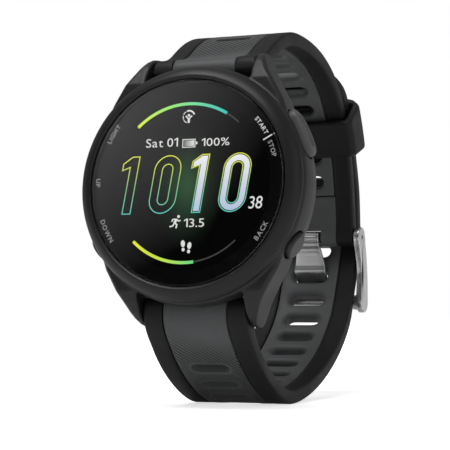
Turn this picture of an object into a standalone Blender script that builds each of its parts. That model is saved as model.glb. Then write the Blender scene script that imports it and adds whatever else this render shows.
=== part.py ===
"""Running watch with a buckled two-tone silicone strap, standing on its strap.

All sizes are in millimetres and angles in degrees; MM turns them into metres.
The case is drawn in the frame of its face: x to the right, v up the face, d into the
watch from the front of the glass. The strap loop is drawn in the upright y, z plane.
"""
import math

import bmesh
import bpy
import numpy as np
from mathutils import Vector

MM = 0.001
FACE_TILT = 5.42             # the face leans back by this much when the watch stands

# Front of the case
GLASS_RADIUS = 18.7
GLASS_THICKNESS = 1.3
GLASS_GAP = 0.15             # all round the glass
BEZEL_WIDTH = 2.65           # glass opening to the rim of the bezel
BEZEL_HEIGHT = 2.6
BEZEL_LIP = 0.25             # the bezel stands this far proud of the glass
BEZEL_SEAT = 1.1             # ledge behind the glass
CASE_GAP = 0.15              # parting line between bezel and case, and other seams

# Case middle
CASE_DEPTH = 9.9             # glass front to the back face of the case middle
CASE_BULGE = 0.45            # the side swells this far beyond the bezel
CASE_WALL = 3.15             # at the swelling
LUG_WIDTH = 2.9
LUG_REACH = 3.0              # lug tip beyond the spring bar axis
BAR_DEPTH = 8.5
BAR_BEYOND_BEZEL = 0.70      # spring bar axis beyond the rim of the bezel
BAR_RADIUS = 0.75
BAR_TIP_RADIUS = 0.45
BAR_TIP_LENGTH = 1.2
BAR_CLEARANCE = 0.20

# Back of the case
COVER_THICKNESS = 1.0
COVER_RIM = 0.55             # the cover stops this far inside the edge of the case
COVER_PLUG = 0.75            # the cover's step into the bore
GASKET_WIDTH = 0.75
WINDOW_RADIUS = 8.2
WINDOW_DOME = 0.7            # the sensor window stands this far proud of the cover
SCREW_RADIUS = 0.5
SCREW_HEAD = 0.95
SCREW_LENGTH = 3.2
SCREW_ANGLE = 45.0
CONTACT_PITCH = 1.5
CONTACT_RADIUS = 0.42
PORT_DEPTH = 0.45

# Stack inside the case, front to back
STACK_GAP = 0.25
DISPLAY_RADIUS = 16.9
DISPLAY_THICKNESS = 1.2
CHASSIS_THICKNESS = 0.5
CHASSIS_RIM = 1.0
BOARD_THICKNESS = 0.7
SWITCH_DEPTH = 1.3           # along the push
SWITCH_WIDTH = 3.2
SWITCH_HEIGHT = 2.0
BATTERY = (20.0, 17.0, 2.6)  # across, up and deep
MOTOR_RADIUS = 2.6
MOTOR_THICKNESS = 2.0
BUZZER_RADIUS = 3.4
BUZZER_THICKNESS = 0.6
ANTENNA_WIDTH = 0.8
SENSOR_BOARD_THICKNESS = 0.5

# Buttons
BUTTON_DEPTH = 6.0           # axis behind the front of the glass
BUTTON_TRAVEL = 0.5
PILL_PROUD = 0.95
CAP_PROUD = 0.55
CAP_RADIUS = 2.5
CAP_HIDDEN = 0.75            # cap height inside its recess
CAP_CLEARANCE = 0.3
PILL_LENGTH = 9.4
PILL_HEIGHT = 4.2
SHAFT_RADIUS = 0.85
SHAFT_CLEARANCE = 0.15
SEAL_RADIUS = 0.25
ROUND_BUTTONS = (("light", 150.0), ("up", 180.0), ("down", 210.0), ("back", -30.0))
START_ANGLE = 25.0

# Strap loop, upright plane, measured from the spring bars
STRAP_WIDTH = 20.2
STRAP_THICKNESS = 2.7
STRAP_SIDE_GAP = 0.25        # strap to lug
ROOT_RADIUS = 2.4            # tube around the spring bar
ROOT_GAP = 0.3               # tube to case
ROOT_BLEND = 7.0             # length over which the root thins to the strap
LOOP_CREST_AHEAD = 22.1      # crest of the loop behind the top bar, and above it
LOOP_CREST_RISE = 8.55
LOOP_BACK = 57.3             # back of the loop behind the top bar, and below it
LOOP_BACK_DROP = 35.7
LOOP_FLOOR_AHEAD = 22.2      # lowest run of the loop behind the bottom bar, and below it
LOOP_FLOOR_DROP = 16.5
LOOP_START = 5.0             # direction leaving the top bar
LOOP_END = 102.0             # direction arriving at the bottom bar
LOOP_PULLS = (4.5, 11.5, 27.0, 29.8, 14.8, 15.0, 7.5, 7.0)
UPPER_LENGTH = 82.5          # top bar to buckle pin, along the strap
TAIL_OVERLAP = 36.5          # strap tip beyond the buckle pin, along the strap
PIN_SLACK = 0.75             # free strap off the strap below it, at the buckle pin
FREE_SLACK = 1.6             # its most, between buckle and keeper
KEEPER_SLACK = 1.05
TIP_SLACK = 0.45
CORE_HALF = 6.2              # grey core of the strap
CORE_GAP = 0.1
CORE_END = 9.0               # black part beyond the core at the buckle end and the tip
SLOT_PITCH = 5.55
SLOT_LENGTH = 7.4
SLOT_WIDTH = 2.4
FIRST_SLOT = 12.5            # from the spring bar, at the least
STRAP_CORNER = 0.6
STATION = 2.7                # longest step between sections

# Keeper, buckle and tongue
KEEPER_AT = 22.4             # centre, before the buckle pin along the strap
KEEPER_WIDTH = 8.8
KEEPER_WALL = 1.5
KEEPER_CLEARANCE = 0.6
PIN_RADIUS = 0.7
PIN_CLEARANCE = 0.18
PIN_END_RADIUS = 1.9         # strap end around the buckle pin
FRAME_LENGTH = 12.9          # pin to far bar, along the strap
FRAME_WALL = 1.1
FRAME_DEPTH = 4.4
FRAME_SIDE_GAP = 0.55
FAR_BAR_RADIUS = 1.3
FAR_BAR_GAP = 0.35
TONGUE_WIDTH = 6.4
TONGUE_THICKNESS = 0.8
TONGUE_TUBE = 1.5
TONGUE_SLOT = 8.7            # engaged slot, beyond the buckle pin along the strap
TONGUE_STEP = 0.75           # half the run along the strap while it passes the slot
TONGUE_GAP = 0.35
NOTCH_HALF = 3.9

BEZEL_INNER = GLASS_RADIUS + GLASS_GAP
BEZEL_OUTER = BEZEL_INNER + BEZEL_WIDTH
CASE_OUTER = BEZEL_OUTER + CASE_BULGE
BORE = CASE_OUTER - CASE_WALL
BAR_V = BEZEL_OUTER + BAR_BEYOND_BEZEL
LUG_INSIDE = STRAP_WIDTH / 2 + STRAP_SIDE_GAP
BOARD_RADIUS = BORE - 0.7
COVER_RADIUS = CASE_OUTER - 0.75 - COVER_RIM
TILT = math.radians(FACE_TILT)


def face(x, v, d):
    """Point given in the frame of the face, in the upright frame."""
    return Vector((x, math.cos(TILT) * d + math.sin(TILT) * v,
                   math.cos(TILT) * v - math.sin(TILT) * d))


def solid(name, verts, faces):
    """A mesh object from points in millimetres, its faces turned outward."""
    mesh = bpy.data.meshes.new(name)
    mesh.from_pydata([tuple(Vector(p) * MM) for p in verts], [], faces)
    body = bmesh.new()
    body.from_mesh(mesh)
    bmesh.ops.recalc_face_normals(body, faces=body.faces)
    body.to_mesh(mesh)
    body.free()
    part = bpy.data.objects.new(name, mesh)
    bpy.context.scene.collection.objects.link(part)
    return part


def revolve(name, centre, axis, profile, segments=32, closed=False, start=None):
    """Turn a profile of (along, radius) pairs about an axis; closed gives a ring."""
    axis = Vector(axis).normalized()
    side = Vector(start) if start else axis.orthogonal()
    side = (side - axis * side.dot(axis)).normalized()
    up = axis.cross(side)
    verts, rings = [], []
    for along, radius in profile:
        if radius < 1e-6:
            rings.append([len(verts)])
            verts.append(centre + axis * along)
            continue
        rings.append(list(range(len(verts), len(verts) + segments)))
        for k in range(segments):
            turn = 2 * math.pi * k / segments
            verts.append(centre + axis * along
                         + (side * math.cos(turn) + up * math.sin(turn)) * radius)
    faces = []
    pairs = list(zip(rings, rings[1:]))
    if closed:
        pairs.append((rings[-1], rings[0]))
    for a, b in pairs:
        for k in range(segments):
            n = (k + 1) % segments
            if len(a) == 1 and len(b) > 1:
                faces.append((a[0], b[k], b[n]))
            elif len(b) == 1 and len(a) > 1:
                faces.append((a[n], a[k], b[0]))
            elif len(a) > 1:
                faces.append((a[k], a[n], b[n], b[k]))
    if not closed:
        faces += [tuple(ring) for ring in (rings[0], rings[-1]) if len(ring) > 1]
    return solid(name, verts, faces)


def face_ring(name, profile, segments, closed=True):
    """Turn a profile of (depth, radius) pairs about the axis of the face."""
    return revolve(name, face(0, 0, 0), face(0, 0, 1), profile, segments, closed,
                   start=face(1, 0, 0))


def rod(name, a, b, radius, segments=20):
    a, b = Vector(a), Vector(b)
    return revolve(name, a, b - a, [(0, radius), ((b - a).length, radius)], segments)


def prism(name, outline, offset):
    """Straight prism from an outline of points and the offset of its far end."""
    offset = Vector(offset)
    count = len(outline)
    verts = [Vector(p) for p in outline] + [Vector(p) + offset for p in outline]
    faces = [tuple(range(count)), tuple(range(count, 2 * count))]
    faces += [(k, (k + 1) % count, count + (k + 1) % count, count + k) for k in range(count)]
    return solid(name, verts, faces)


def skin(name, loops, ring=False):
    """Solid through a row of loops with the same count of points; ring joins the ends."""
    count = len(loops[0])
    verts = [p for loop in loops for p in loop]
    faces = []
    rows = len(loops)
    for j in range(rows if ring else rows - 1):
        a, b = j * count, (j + 1) % rows * count
        faces += [(a + k, a + (k + 1) % count, b + (k + 1) % count, b + k)
                  for k in range(count)]
    if not ring:
        faces += [tuple(range(count)), tuple(range((rows - 1) * count, rows * count))]
    return solid(name, verts, faces)


def combine(target, others, operation):
    """Exact boolean of the target with each of the others, which it uses up."""
    for other in others:
        other.hide_render = True
        other.display_type = "WIRE"
        step = target.modifiers.new("step", "BOOLEAN")
        step.operation = operation
        step.solver = "EXACT"
        step.object = other
        evaluated = target.evaluated_get(bpy.context.evaluated_depsgraph_get())
        mesh = bpy.data.meshes.new_from_object(evaluated)
        target.modifiers.clear()
        target.data = mesh
        bpy.data.objects.remove(other)
    return target


def cut(target, *others):
    return combine(target, others, "DIFFERENCE")


def unite(target, *others):
    return combine(target, others, "UNION")


def finish(part, colour, roughness, metallic=0.0, clear=0.0, pivot=None):
    """Material, smooth shading and, on a moving piece, the origin on its joint axis."""
    paint = bpy.data.materials.new(part.name)
    paint.use_nodes = True
    shader = next(n for n in paint.node_tree.nodes if n.type == "BSDF_PRINCIPLED")
    shader.inputs["Base Color"].default_value = (*colour, 1)
    shader.inputs["Roughness"].default_value = roughness
    shader.inputs["Metallic"].default_value = metallic
    shader.inputs["Transmission Weight"].default_value = clear
    part.data.materials.clear()
    part.data.materials.append(paint)
    for polygon in part.data.polygons:
        polygon.use_smooth = True
    if pivot is not None:
        shift = Vector(pivot) * MM
        for vertex in part.data.vertices:
            vertex.co -= shift
        part.location = shift
    return part


BLACK = (0.018, 0.018, 0.019)
GREY = (0.075, 0.078, 0.08)
STEEL = (0.55, 0.55, 0.56)

for leftover in list(bpy.data.objects):
    bpy.data.objects.remove(leftover)

# ---------------------------------------------------------------- front of the case
glass = face_ring("front_glass", [(0, 0), (0, GLASS_RADIUS - 0.25), (0.25, GLASS_RADIUS),
                                  (GLASS_THICKNESS, GLASS_RADIUS),
                                  (GLASS_THICKNESS, 0)], 72, closed=False)
finish(glass, (0.02, 0.02, 0.022), 0.05, clear=0.9)

seat_d = GLASS_THICKNESS + CASE_GAP
bezel = face_ring("bezel", [
    (-BEZEL_LIP, BEZEL_INNER + 0.35), (0.15, BEZEL_INNER), (seat_d, BEZEL_INNER),
    (seat_d, BEZEL_INNER - BEZEL_SEAT), (BEZEL_HEIGHT, BEZEL_INNER - BEZEL_SEAT),
    (BEZEL_HEIGHT, BEZEL_OUTER - 0.1), (BEZEL_HEIGHT - 0.5, BEZEL_OUTER),
    (BEZEL_HEIGHT - 1.2, BEZEL_OUTER - 0.25), (0.55, BEZEL_OUTER - 0.95),
    (-0.02, BEZEL_OUTER - 1.75)], 72)
finish(bezel, BLACK, 0.5)

# ---------------------------------------------------------------- case middle and lugs
case_front = BEZEL_HEIGHT + CASE_GAP
case = face_ring("case_middle", [
    (case_front, BORE), (case_front, BEZEL_OUTER - 0.05),
    (case_front + 0.6, BEZEL_OUTER + 0.25), (case_front + 2.0, CASE_OUTER - 0.03),
    (case_front + 3.6, CASE_OUTER), (CASE_DEPTH - 1.6, CASE_OUTER - 0.2),
    (CASE_DEPTH - 0.6, CASE_OUTER - 0.45), (CASE_DEPTH, CASE_OUTER - 0.75),
    (CASE_DEPTH, BORE)], 72)

# beyond the spring bar; front and back depth; how far out, in lug widths
LUG_SIDE = ((-11.0, 0.35, 9.6, 2.48), (-8.3, 0.35, 9.6, 2.2), (-6.0, 0.35, 9.6, 1.82),
            (-3.6, 0.45, 10.0, 1.44), (-1.4, 1.3, 10.9, 1.03), (0.8, 2.7, 11.8, 0.72),
            (2.2, 4.2, 12.2, 0.5), (3.1, 5.8, 12.1, 0.36), (3.6, 8.0, 11.4, 0.26))
lugs = []
for across in (-1, 1):
    for up in (-1, 1):
        loops = []
        for beyond, front, back, width in LUG_SIDE:
            v = BAR_V + beyond * LUG_REACH / 3.6
            front_d = case_front + front * 0.9
            inside = LUG_INSIDE
            outside = inside + LUG_WIDTH * width
            soft = min(0.6, (outside - inside) * 0.3)
            corners = ((inside, front_d + 0.3), (inside + 0.3, front_d),
                       (outside - soft, front_d), (outside, front_d + soft),
                       (outside, back - soft), (outside - soft, back),
                       (inside + 0.3, back), (inside, back - 0.3))
            loops.append([face(across * x, up * v, d) for x, d in corners])
        lugs.append(skin("lug", loops))
case = unite(case, *lugs)
# the bore again, so that no lug reaches into it, and the hollow for each strap root
case = cut(case, face_ring("bore", [(case_front - 1, 0), (case_front - 1, BORE),
                                    (CASE_DEPTH + 4, BORE), (CASE_DEPTH + 4, 0)],
                           72, closed=False))


def root_hollow(up):
    """Room for a strap root between its lugs."""
    bar = face(0, up * BAR_V, BAR_DEPTH)
    half = Vector((LUG_INSIDE, 0, 0))
    return rod("hollow", bar - half, bar + half, ROOT_RADIUS + ROOT_GAP, 40)


for up in (-1, 1):
    bar = face(0, up * BAR_V, BAR_DEPTH)
    case = cut(case, root_hollow(up))
    for across in (-1, 1):
        near = bar + Vector((across * (LUG_INSIDE - 1), 0, 0))
        far = bar + Vector((across * (LUG_INSIDE + BAR_TIP_LENGTH + 0.3), 0, 0))
        case = cut(case, rod("bar hole", near, far, BAR_TIP_RADIUS + 0.15, 12))

# ---------------------------------------------------------------- buttons
buttons = [(name, angle, False) for name, angle in ROUND_BUTTONS]
buttons.append(("start", START_ANGLE, True))
cap_base = CASE_OUTER - CAP_HIDDEN
floor_r = cap_base - BUTTON_TRAVEL - 0.15
shaft_end = BORE - 0.5
seal_reach = SHAFT_RADIUS + 0.05 + 2 * SEAL_RADIUS + 0.05
for name, angle, pill in buttons:
    turn = math.radians(angle)
    centre = face(0, 0, BUTTON_DEPTH)
    out = face(math.cos(turn), math.sin(turn), 0)
    along = face(-math.sin(turn), math.cos(turn), 0)
    deep = face(0, 0, 1)

    def stadium(length, height, reach, count=8):
        """Outline of a pill (or a circle) at a distance from the axis of the case."""
        straight = max(0.0, length - height) / 2
        radius = height / 2
        points = []
        for end in (1, -1):
            for k in range(count + 1):
                a = math.pi * (k / count - 0.5)
                u = end * (straight + radius * math.cos(a))
                points.append((u, end * radius * math.sin(a)))
        return [centre + along * u + deep * w + out * (reach(u)) for u, w in points]

    length = PILL_LENGTH if pill else 2 * CAP_RADIUS
    height = PILL_HEIGHT if pill else 2 * CAP_RADIUS
    top = CASE_OUTER + (PILL_PROUD if pill else CAP_PROUD)

    def dome(level, shrink=1.0):
        """Distance from the axis of a surface that follows the round of the case."""
        return lambda u: math.sqrt(max(0.0, level * level - u * u * (1.0 if pill else 0.4)))

    cap = skin("button_" + name, [
        stadium(length, height, lambda u: cap_base - 0.45 * (length > 6)),
        stadium(length, height, dome(top - 0.5)),
        stadium(length - 0.5, height - 0.5, dome(top - 0.12)),
        stadium(length - 1.1, height - 1.1, dome(top))])
    shaft = rod("shaft", centre + out * shaft_end, centre + out * (cap_base + 0.3),
                SHAFT_RADIUS, 16)
    cap = unite(cap, shaft)
    finish(cap, BLACK, 0.45, pivot=centre + out * cap_base)

    grow = 2 * CAP_CLEARANCE
    low = floor_r - 0.45 * pill
    recess = skin("recess", [stadium(length + grow, height + grow, lambda u: low),
                             stadium(length + grow, height + grow, lambda u: top)])
    bore_r = SHAFT_RADIUS + SHAFT_CLEARANCE
    passage = rod("passage", centre + out * (BORE - 1.5), centre + out * (low + 0.4),
                  bore_r, 16)
    seal_end = BORE + 2.6 * SEAL_RADIUS + 0.15
    gland = rod("gland", centre + out * (BORE - 1.5), centre + out * seal_end,
                seal_reach, 16)
    case = cut(case, recess, passage, gland)

    middle = BORE + SEAL_RADIUS + 0.15
    ring = [(SEAL_RADIUS * math.cos(math.pi * k / 3),
             SHAFT_RADIUS + 0.05 + SEAL_RADIUS + SEAL_RADIUS * math.sin(math.pi * k / 3))
            for k in range(6)]
    seal = revolve("button_seal_" + name, centre + out * middle, out, ring, 16, closed=True)
    finish(seal, (0.03, 0.03, 0.03), 0.6)

    face_at = shaft_end - BUTTON_TRAVEL - 0.15
    half_w, half_h = SWITCH_WIDTH / 2, SWITCH_HEIGHT / 2
    outline = [centre + along * (u * half_w) + deep * (w * half_h) + out * face_at
               for u, w in ((-1, -1), (1, -1), (1, 1), (-1, 1))]
    switch = prism("button_switch_" + name, outline, -out * SWITCH_DEPTH)
    finish(switch, (0.35, 0.35, 0.36), 0.4)

# ---------------------------------------------------------------- back of the case
back_face = CASE_DEPTH + CASE_GAP
cover_back = back_face + COVER_THICKNESS
screws = [SCREW_ANGLE + 90 * k for k in range(4)]
screw_r = (BORE + CASE_OUTER - 0.75) / 2 - 0.1
lip = BORE - GASKET_WIDTH - 0.1
cover = face_ring("rear_cover", [
    (back_face - COVER_PLUG, WINDOW_RADIUS + 0.15), (back_face - COVER_PLUG, lip),
    (back_face, lip), (back_face, COVER_RADIUS), (cover_back - 0.4, COVER_RADIUS),
    (cover_back, COVER_RADIUS - 0.6), (cover_back, WINDOW_RADIUS + 0.15)], 72)
port_v = -(WINDOW_RADIUS + lip) / 2
port_half = (CONTACT_PITCH * 2 + 0.9, 1.6)
port = prism("port", [face(u * port_half[0], port_v + w * port_half[1], cover_back - PORT_DEPTH)
                      for u, w in ((-1, -1), (1, -1), (1, 1), (-1, 1))], face(0, 0, 2))
cover = cut(cover, port, root_hollow(1), root_hollow(-1))
for number, angle in enumerate(screws, 1):
    turn = math.radians(angle)
    base = face(screw_r * math.cos(turn), screw_r * math.sin(turn), 0)
    deep = face(0, 0, 1)
    head = cover_back + 0.3
    hole = revolve("hole", base, deep, [
        (back_face - SCREW_LENGTH - 0.4, 0), (back_face - SCREW_LENGTH - 0.4, SCREW_RADIUS + 0.08),
        (cover_back - 0.62, SCREW_RADIUS + 0.08), (cover_back - 0.62, SCREW_HEAD + 0.1),
        (head, SCREW_HEAD + 0.1), (head, 0)], 14)
    twin = hole.copy()
    twin.data = hole.data.copy()
    bpy.context.scene.collection.objects.link(twin)
    cover = cut(cover, hole)
    case = cut(case, twin)
    screw = revolve("rear_screw_%d" % number, base, deep, [
        (back_face - SCREW_LENGTH, 0), (back_face - SCREW_LENGTH, SCREW_RADIUS),
        (cover_back - 0.5, SCREW_RADIUS), (cover_back - 0.5, SCREW_HEAD),
        (cover_back - 0.05, SCREW_HEAD), (cover_back - 0.05, 0.35),
        (cover_back - 0.35, 0.35), (cover_back - 0.35, 0)], 14)
    finish(screw, STEEL, 0.3, metallic=1.0)
finish(case, BLACK, 0.5)

for number in range(4):
    x = (number - 1.5) * CONTACT_PITCH
    base = face(x, port_v, 0)
    cover = cut(cover, revolve("hole", base, face(0, 0, 1), [
        (back_face - COVER_PLUG - 1, 0), (back_face - COVER_PLUG - 1, CONTACT_RADIUS + 0.08),
        (cover_back, CONTACT_RADIUS + 0.08), (cover_back, 0)], 12))
    contact = revolve("charge_contact_%d" % (number + 1), base, face(0, 0, 1), [
        (back_face - COVER_PLUG, 0), (back_face - COVER_PLUG, CONTACT_RADIUS),
        (cover_back - PORT_DEPTH + 0.1, CONTACT_RADIUS),
        (cover_back - PORT_DEPTH + 0.22, CONTACT_RADIUS * 0.6),
        (cover_back - PORT_DEPTH + 0.22, 0)], 12)
    finish(contact, (0.75, 0.6, 0.3), 0.25, metallic=1.0)
finish(cover, BLACK, 0.5)

gasket = face_ring("rear_gasket", [
    (back_face - 0.7, lip + 0.08), (back_face - 0.7, BORE - 0.08),
    (back_face - 0.1, BORE - 0.08), (back_face - 0.1, lip + 0.08)], 48)
finish(gasket, (0.05, 0.05, 0.05), 0.7)

window = face_ring("sensor_window", [
    (cover_back - 0.5, 0), (cover_back - 0.5, WINDOW_RADIUS),
    (cover_back + 0.1, WINDOW_RADIUS), (cover_back + WINDOW_DOME * 0.6, WINDOW_RADIUS - 1.4),
    (cover_back + WINDOW_DOME * 0.9, WINDOW_RADIUS - 3.6), (cover_back + WINDOW_DOME, 0)],
    48, closed=False)
finish(window, (0.02, 0.02, 0.02), 0.08, clear=0.6)

sensor_back = cover_back - 0.5 - CASE_GAP
sensor = face_ring("sensor_board", [
    (sensor_back - SENSOR_BOARD_THICKNESS, 0),
    (sensor_back - SENSOR_BOARD_THICKNESS, WINDOW_RADIUS - 0.5),
    (sensor_back, WINDOW_RADIUS - 0.5), (sensor_back, 0)], 32, closed=False)
finish(sensor, (0.02, 0.12, 0.05), 0.4)

# ---------------------------------------------------------------- inside the case
display_d = seat_d + 0.0
display = face_ring("display_module", [
    (display_d, 0), (display_d, DISPLAY_RADIUS), (display_d + DISPLAY_THICKNESS, DISPLAY_RADIUS),
    (display_d + DISPLAY_THICKNESS, 0)], 48, closed=False)
finish(display, (0.01, 0.01, 0.012), 0.15)

chassis_d = display_d + DISPLAY_THICKNESS + STACK_GAP
chassis = face_ring("chassis", [
    (chassis_d, 0), (chassis_d, BORE - 0.2), (chassis_d + CHASSIS_THICKNESS, BORE - 0.2),
    (chassis_d + CHASSIS_THICKNESS, 0)], 48, closed=False)
finish(chassis, (0.25, 0.26, 0.27), 0.45, metallic=0.6)

board_d = chassis_d + CHASSIS_THICKNESS + STACK_GAP
board = face_ring("main_board", [
    (board_d, 0), (board_d, BOARD_RADIUS), (board_d + BOARD_THICKNESS, BOARD_RADIUS),
    (board_d + BOARD_THICKNESS, 0)], 48, closed=False)
finish(board, (0.02, 0.16, 0.07), 0.4)

under = board_d + BOARD_THICKNESS + STACK_GAP
wide, tall, thick = BATTERY
battery_v = 2.0
corner = 2.0
outline = []
for u, w in ((1, 1), (-1, 1), (-1, -1), (1, -1)):
    base = math.atan2(w, u) - math.pi / 4
    for k in range(4):
        a = base + math.pi / 2 * k / 3
        outline.append(face(u * (wide / 2 - corner) + corner * math.cos(a),
                            battery_v + w * (tall / 2 - corner) + corner * math.sin(a), under))
battery = prism("battery", outline, face(0, 0, thick))
finish(battery, (0.5, 0.5, 0.52), 0.35, metallic=0.4)

low_v = battery_v - tall / 2 - STACK_GAP
motor = revolve("vibration_motor", face(-MOTOR_RADIUS - 1.2, low_v - MOTOR_RADIUS, under),
                face(0, 0, 1), [(0, 0), (0, MOTOR_RADIUS), (MOTOR_THICKNESS, MOTOR_RADIUS),
                                (MOTOR_THICKNESS, 0)], 24)
finish(motor, STEEL, 0.3, metallic=1.0)
buzzer = revolve("buzzer", face(BUZZER_RADIUS - 0.6, low_v - BUZZER_RADIUS, under),
                 face(0, 0, 1), [(0, 0), (0, BUZZER_RADIUS), (BUZZER_THICKNESS, BUZZER_RADIUS),
                                 (BUZZER_THICKNESS, 0)], 24)
finish(buzzer, (0.7, 0.55, 0.25), 0.3, metallic=1.0)

antenna_out = BORE - 0.15
antenna = face_ring("antenna_ring", [
    (board_d - 0.05, antenna_out - ANTENNA_WIDTH / 2), (board_d - 0.05, antenna_out),
    (board_d + 0.35, antenna_out), (board_d + 0.35, antenna_out - ANTENNA_WIDTH / 2)], 48)
finish(antenna, (0.7, 0.4, 0.2), 0.35, metallic=1.0)

for label, up in (("top", 1), ("bottom", -1)):
    bar = face(0, up * BAR_V, BAR_DEPTH)
    end = LUG_INSIDE + BAR_TIP_LENGTH
    body = LUG_INSIDE - 0.1
    spring_bar = revolve("spring_bar_" + label, bar, (1, 0, 0), [
        (-end, 0), (-end, BAR_TIP_RADIUS), (-body, BAR_TIP_RADIUS), (-body, BAR_RADIUS),
        (body, BAR_RADIUS), (body, BAR_TIP_RADIUS), (end, BAR_TIP_RADIUS), (end, 0)], 16)
    finish(spring_bar, STEEL, 0.3, metallic=1.0)

# ---------------------------------------------------------------- strap loop
bar_top = np.array(face(0, BAR_V, BAR_DEPTH)[1:])
bar_low = np.array(face(0, -BAR_V, BAR_DEPTH)[1:])
crest = bar_top + (LOOP_CREST_AHEAD, LOOP_CREST_RISE)
back = bar_top + (LOOP_BACK, -LOOP_BACK_DROP)
floor = bar_low + (LOOP_FLOOR_AHEAD, -LOOP_FLOOR_DROP)
leave = np.array((math.cos(math.radians(LOOP_START)), math.sin(math.radians(LOOP_START))))
arrive = np.array((-math.cos(math.radians(LOOP_END)), math.sin(math.radians(LOOP_END))))
east, south = np.array((1.0, 0.0)), np.array((0.0, -1.0))
pull = LOOP_PULLS
corners = ((bar_top, bar_top + leave * pull[0], crest - east * pull[1], crest),
           (crest, crest + east * pull[2], back - south * pull[3], back),
           (back, back + south * pull[4], floor + east * pull[5], floor),
           (floor, floor - east * pull[6], bar_low - arrive * pull[7], bar_low))
path = []
for a, b, c, d in corners:
    for k in range(80):
        t = k / 80
        path.append(a * (1 - t) ** 3 + 3 * b * t * (1 - t) ** 2 + 3 * c * t * t * (1 - t)
                    + d * t ** 3)
path.append(bar_low)
path = np.array(path)
reach = np.concatenate([[0], np.cumsum(np.linalg.norm(np.diff(path, axis=0), axis=1))])
LOOP_LENGTH = reach[-1]
slope = np.gradient(path, reach, axis=0)


def on_loop(s):
    """Point, direction and outward normal of the loop at a length from the top bar."""
    inside = min(max(s, 0.0), LOOP_LENGTH)
    along = np.array([np.interp(inside, reach, slope[:, k]) for k in (0, 1)])
    along /= np.linalg.norm(along)
    point = np.array([np.interp(inside, reach, path[:, k]) for k in (0, 1)])
    return point + along * (s - inside), along, np.array((-along[1], along[0]))


def ease(t):
    t = min(max(t, 0.0), 1.0)
    return t * t * (3 - 2 * t)


pin_s = UPPER_LENGTH
tip_s = pin_s - TAIL_OVERLAP
keeper_s = pin_s - KEEPER_AT
far_s = pin_s + FRAME_LENGTH
keeper_lift = STRAP_THICKNESS + KEEPER_SLACK
LIFTS = ((tip_s, STRAP_THICKNESS + TIP_SLACK),
         (keeper_s - KEEPER_WIDTH / 2 - 1, keeper_lift),
         (keeper_s + KEEPER_WIDTH / 2 + 1, keeper_lift),
         ((keeper_s + pin_s + KEEPER_WIDTH / 2) / 2, STRAP_THICKNESS + FREE_SLACK),
         (pin_s - 1.0, PIN_END_RADIUS + STRAP_THICKNESS / 2 + PIN_SLACK), (far_s, 0.0))


def lift(s):
    """How far outside the loop the free strap runs."""
    if s <= LIFTS[0][0]:
        return LIFTS[0][1]
    for (a, low), (b, high) in zip(LIFTS, LIFTS[1:]):
        if s <= b:
            return low + (high - low) * ease((s - a) / (b - a))
    return 0.0


def free(s, out=0.0):
    """Point of the free strap's middle layer, moved outward by out, and its normal."""
    near, far = (on_loop(s + step) for step in (-0.4, 0.4))
    a = near[0] + near[2] * lift(s - 0.4)
    b = far[0] + far[2] * lift(s + 0.4)
    along = (b - a) / np.linalg.norm(b - a)
    normal = np.array((-along[1], along[0]))
    return (a + b) / 2 + normal * out, along, normal


def fixed(s, out=0.0):
    point, along, normal = on_loop(s)
    return point + normal * out, along, normal


def section(place, s, half_width, half_thick, corner):
    """Loop of points round the strap's section."""
    corner = min(corner, half_thick * 0.6, half_width * 0.6)
    pairs = []
    for u, w in ((1, 1), (-1, 1), (-1, -1), (1, -1)):
        soft = ((0.0, corner), (corner, 0.0))
        for cu, cw in (soft if u * w < 0 else soft[::-1])[::-1]:
            pairs.append((u * (half_width - cu), w * (half_thick - cw)))
    points = []
    for x, w in pairs:
        y, z = place(s, w)[0]
        points.append(Vector((x, y, z)))
    return points


def root_half(distance):
    """Half thickness at a distance from the spring bar axis."""
    thin = STRAP_THICKNESS / 2
    if distance <= 0:
        return math.sqrt(max(ROOT_RADIUS ** 2 - distance ** 2, 0.04))
    return ROOT_RADIUS + (thin - ROOT_RADIUS) * ease(distance / ROOT_BLEND)


def end_half(distance):
    """Half thickness at a distance from the buckle pin, beyond it when negative."""
    thin = STRAP_THICKNESS / 2
    if distance <= 0:
        return math.sqrt(max(PIN_END_RADIUS ** 2 - distance ** 2, 0.04))
    return PIN_END_RADIUS + (thin - PIN_END_RADIUS) * ease(distance / (2 * PIN_END_RADIUS))


def spaced(a, b, step):
    count = max(2, math.ceil(abs(b - a) / step))
    return [a + (b - a) * k / count for k in range(count + 1)]


ROUND = (1.0, 0.92, 0.72, 0.42, 0.0)
thin = STRAP_THICKNESS / 2
half_strap = STRAP_WIDTH / 2

# upper strap, from the root round the top bar to the end round the buckle pin
stations = [-ROOT_RADIUS * r for r in ROUND[:-1]] + spaced(0, pin_s, STATION)
stations += [pin_s + PIN_END_RADIUS * r for r in ROUND[-2::-1]]
upper_half = [min(root_half(s), ROOT_RADIUS) if s < pin_s / 2 else end_half(pin_s - s)
              for s in stations]
upper = skin("strap_upper", [section(fixed, s, half_strap, h, STRAP_CORNER)
                             for s, h in zip(stations, upper_half)])

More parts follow.
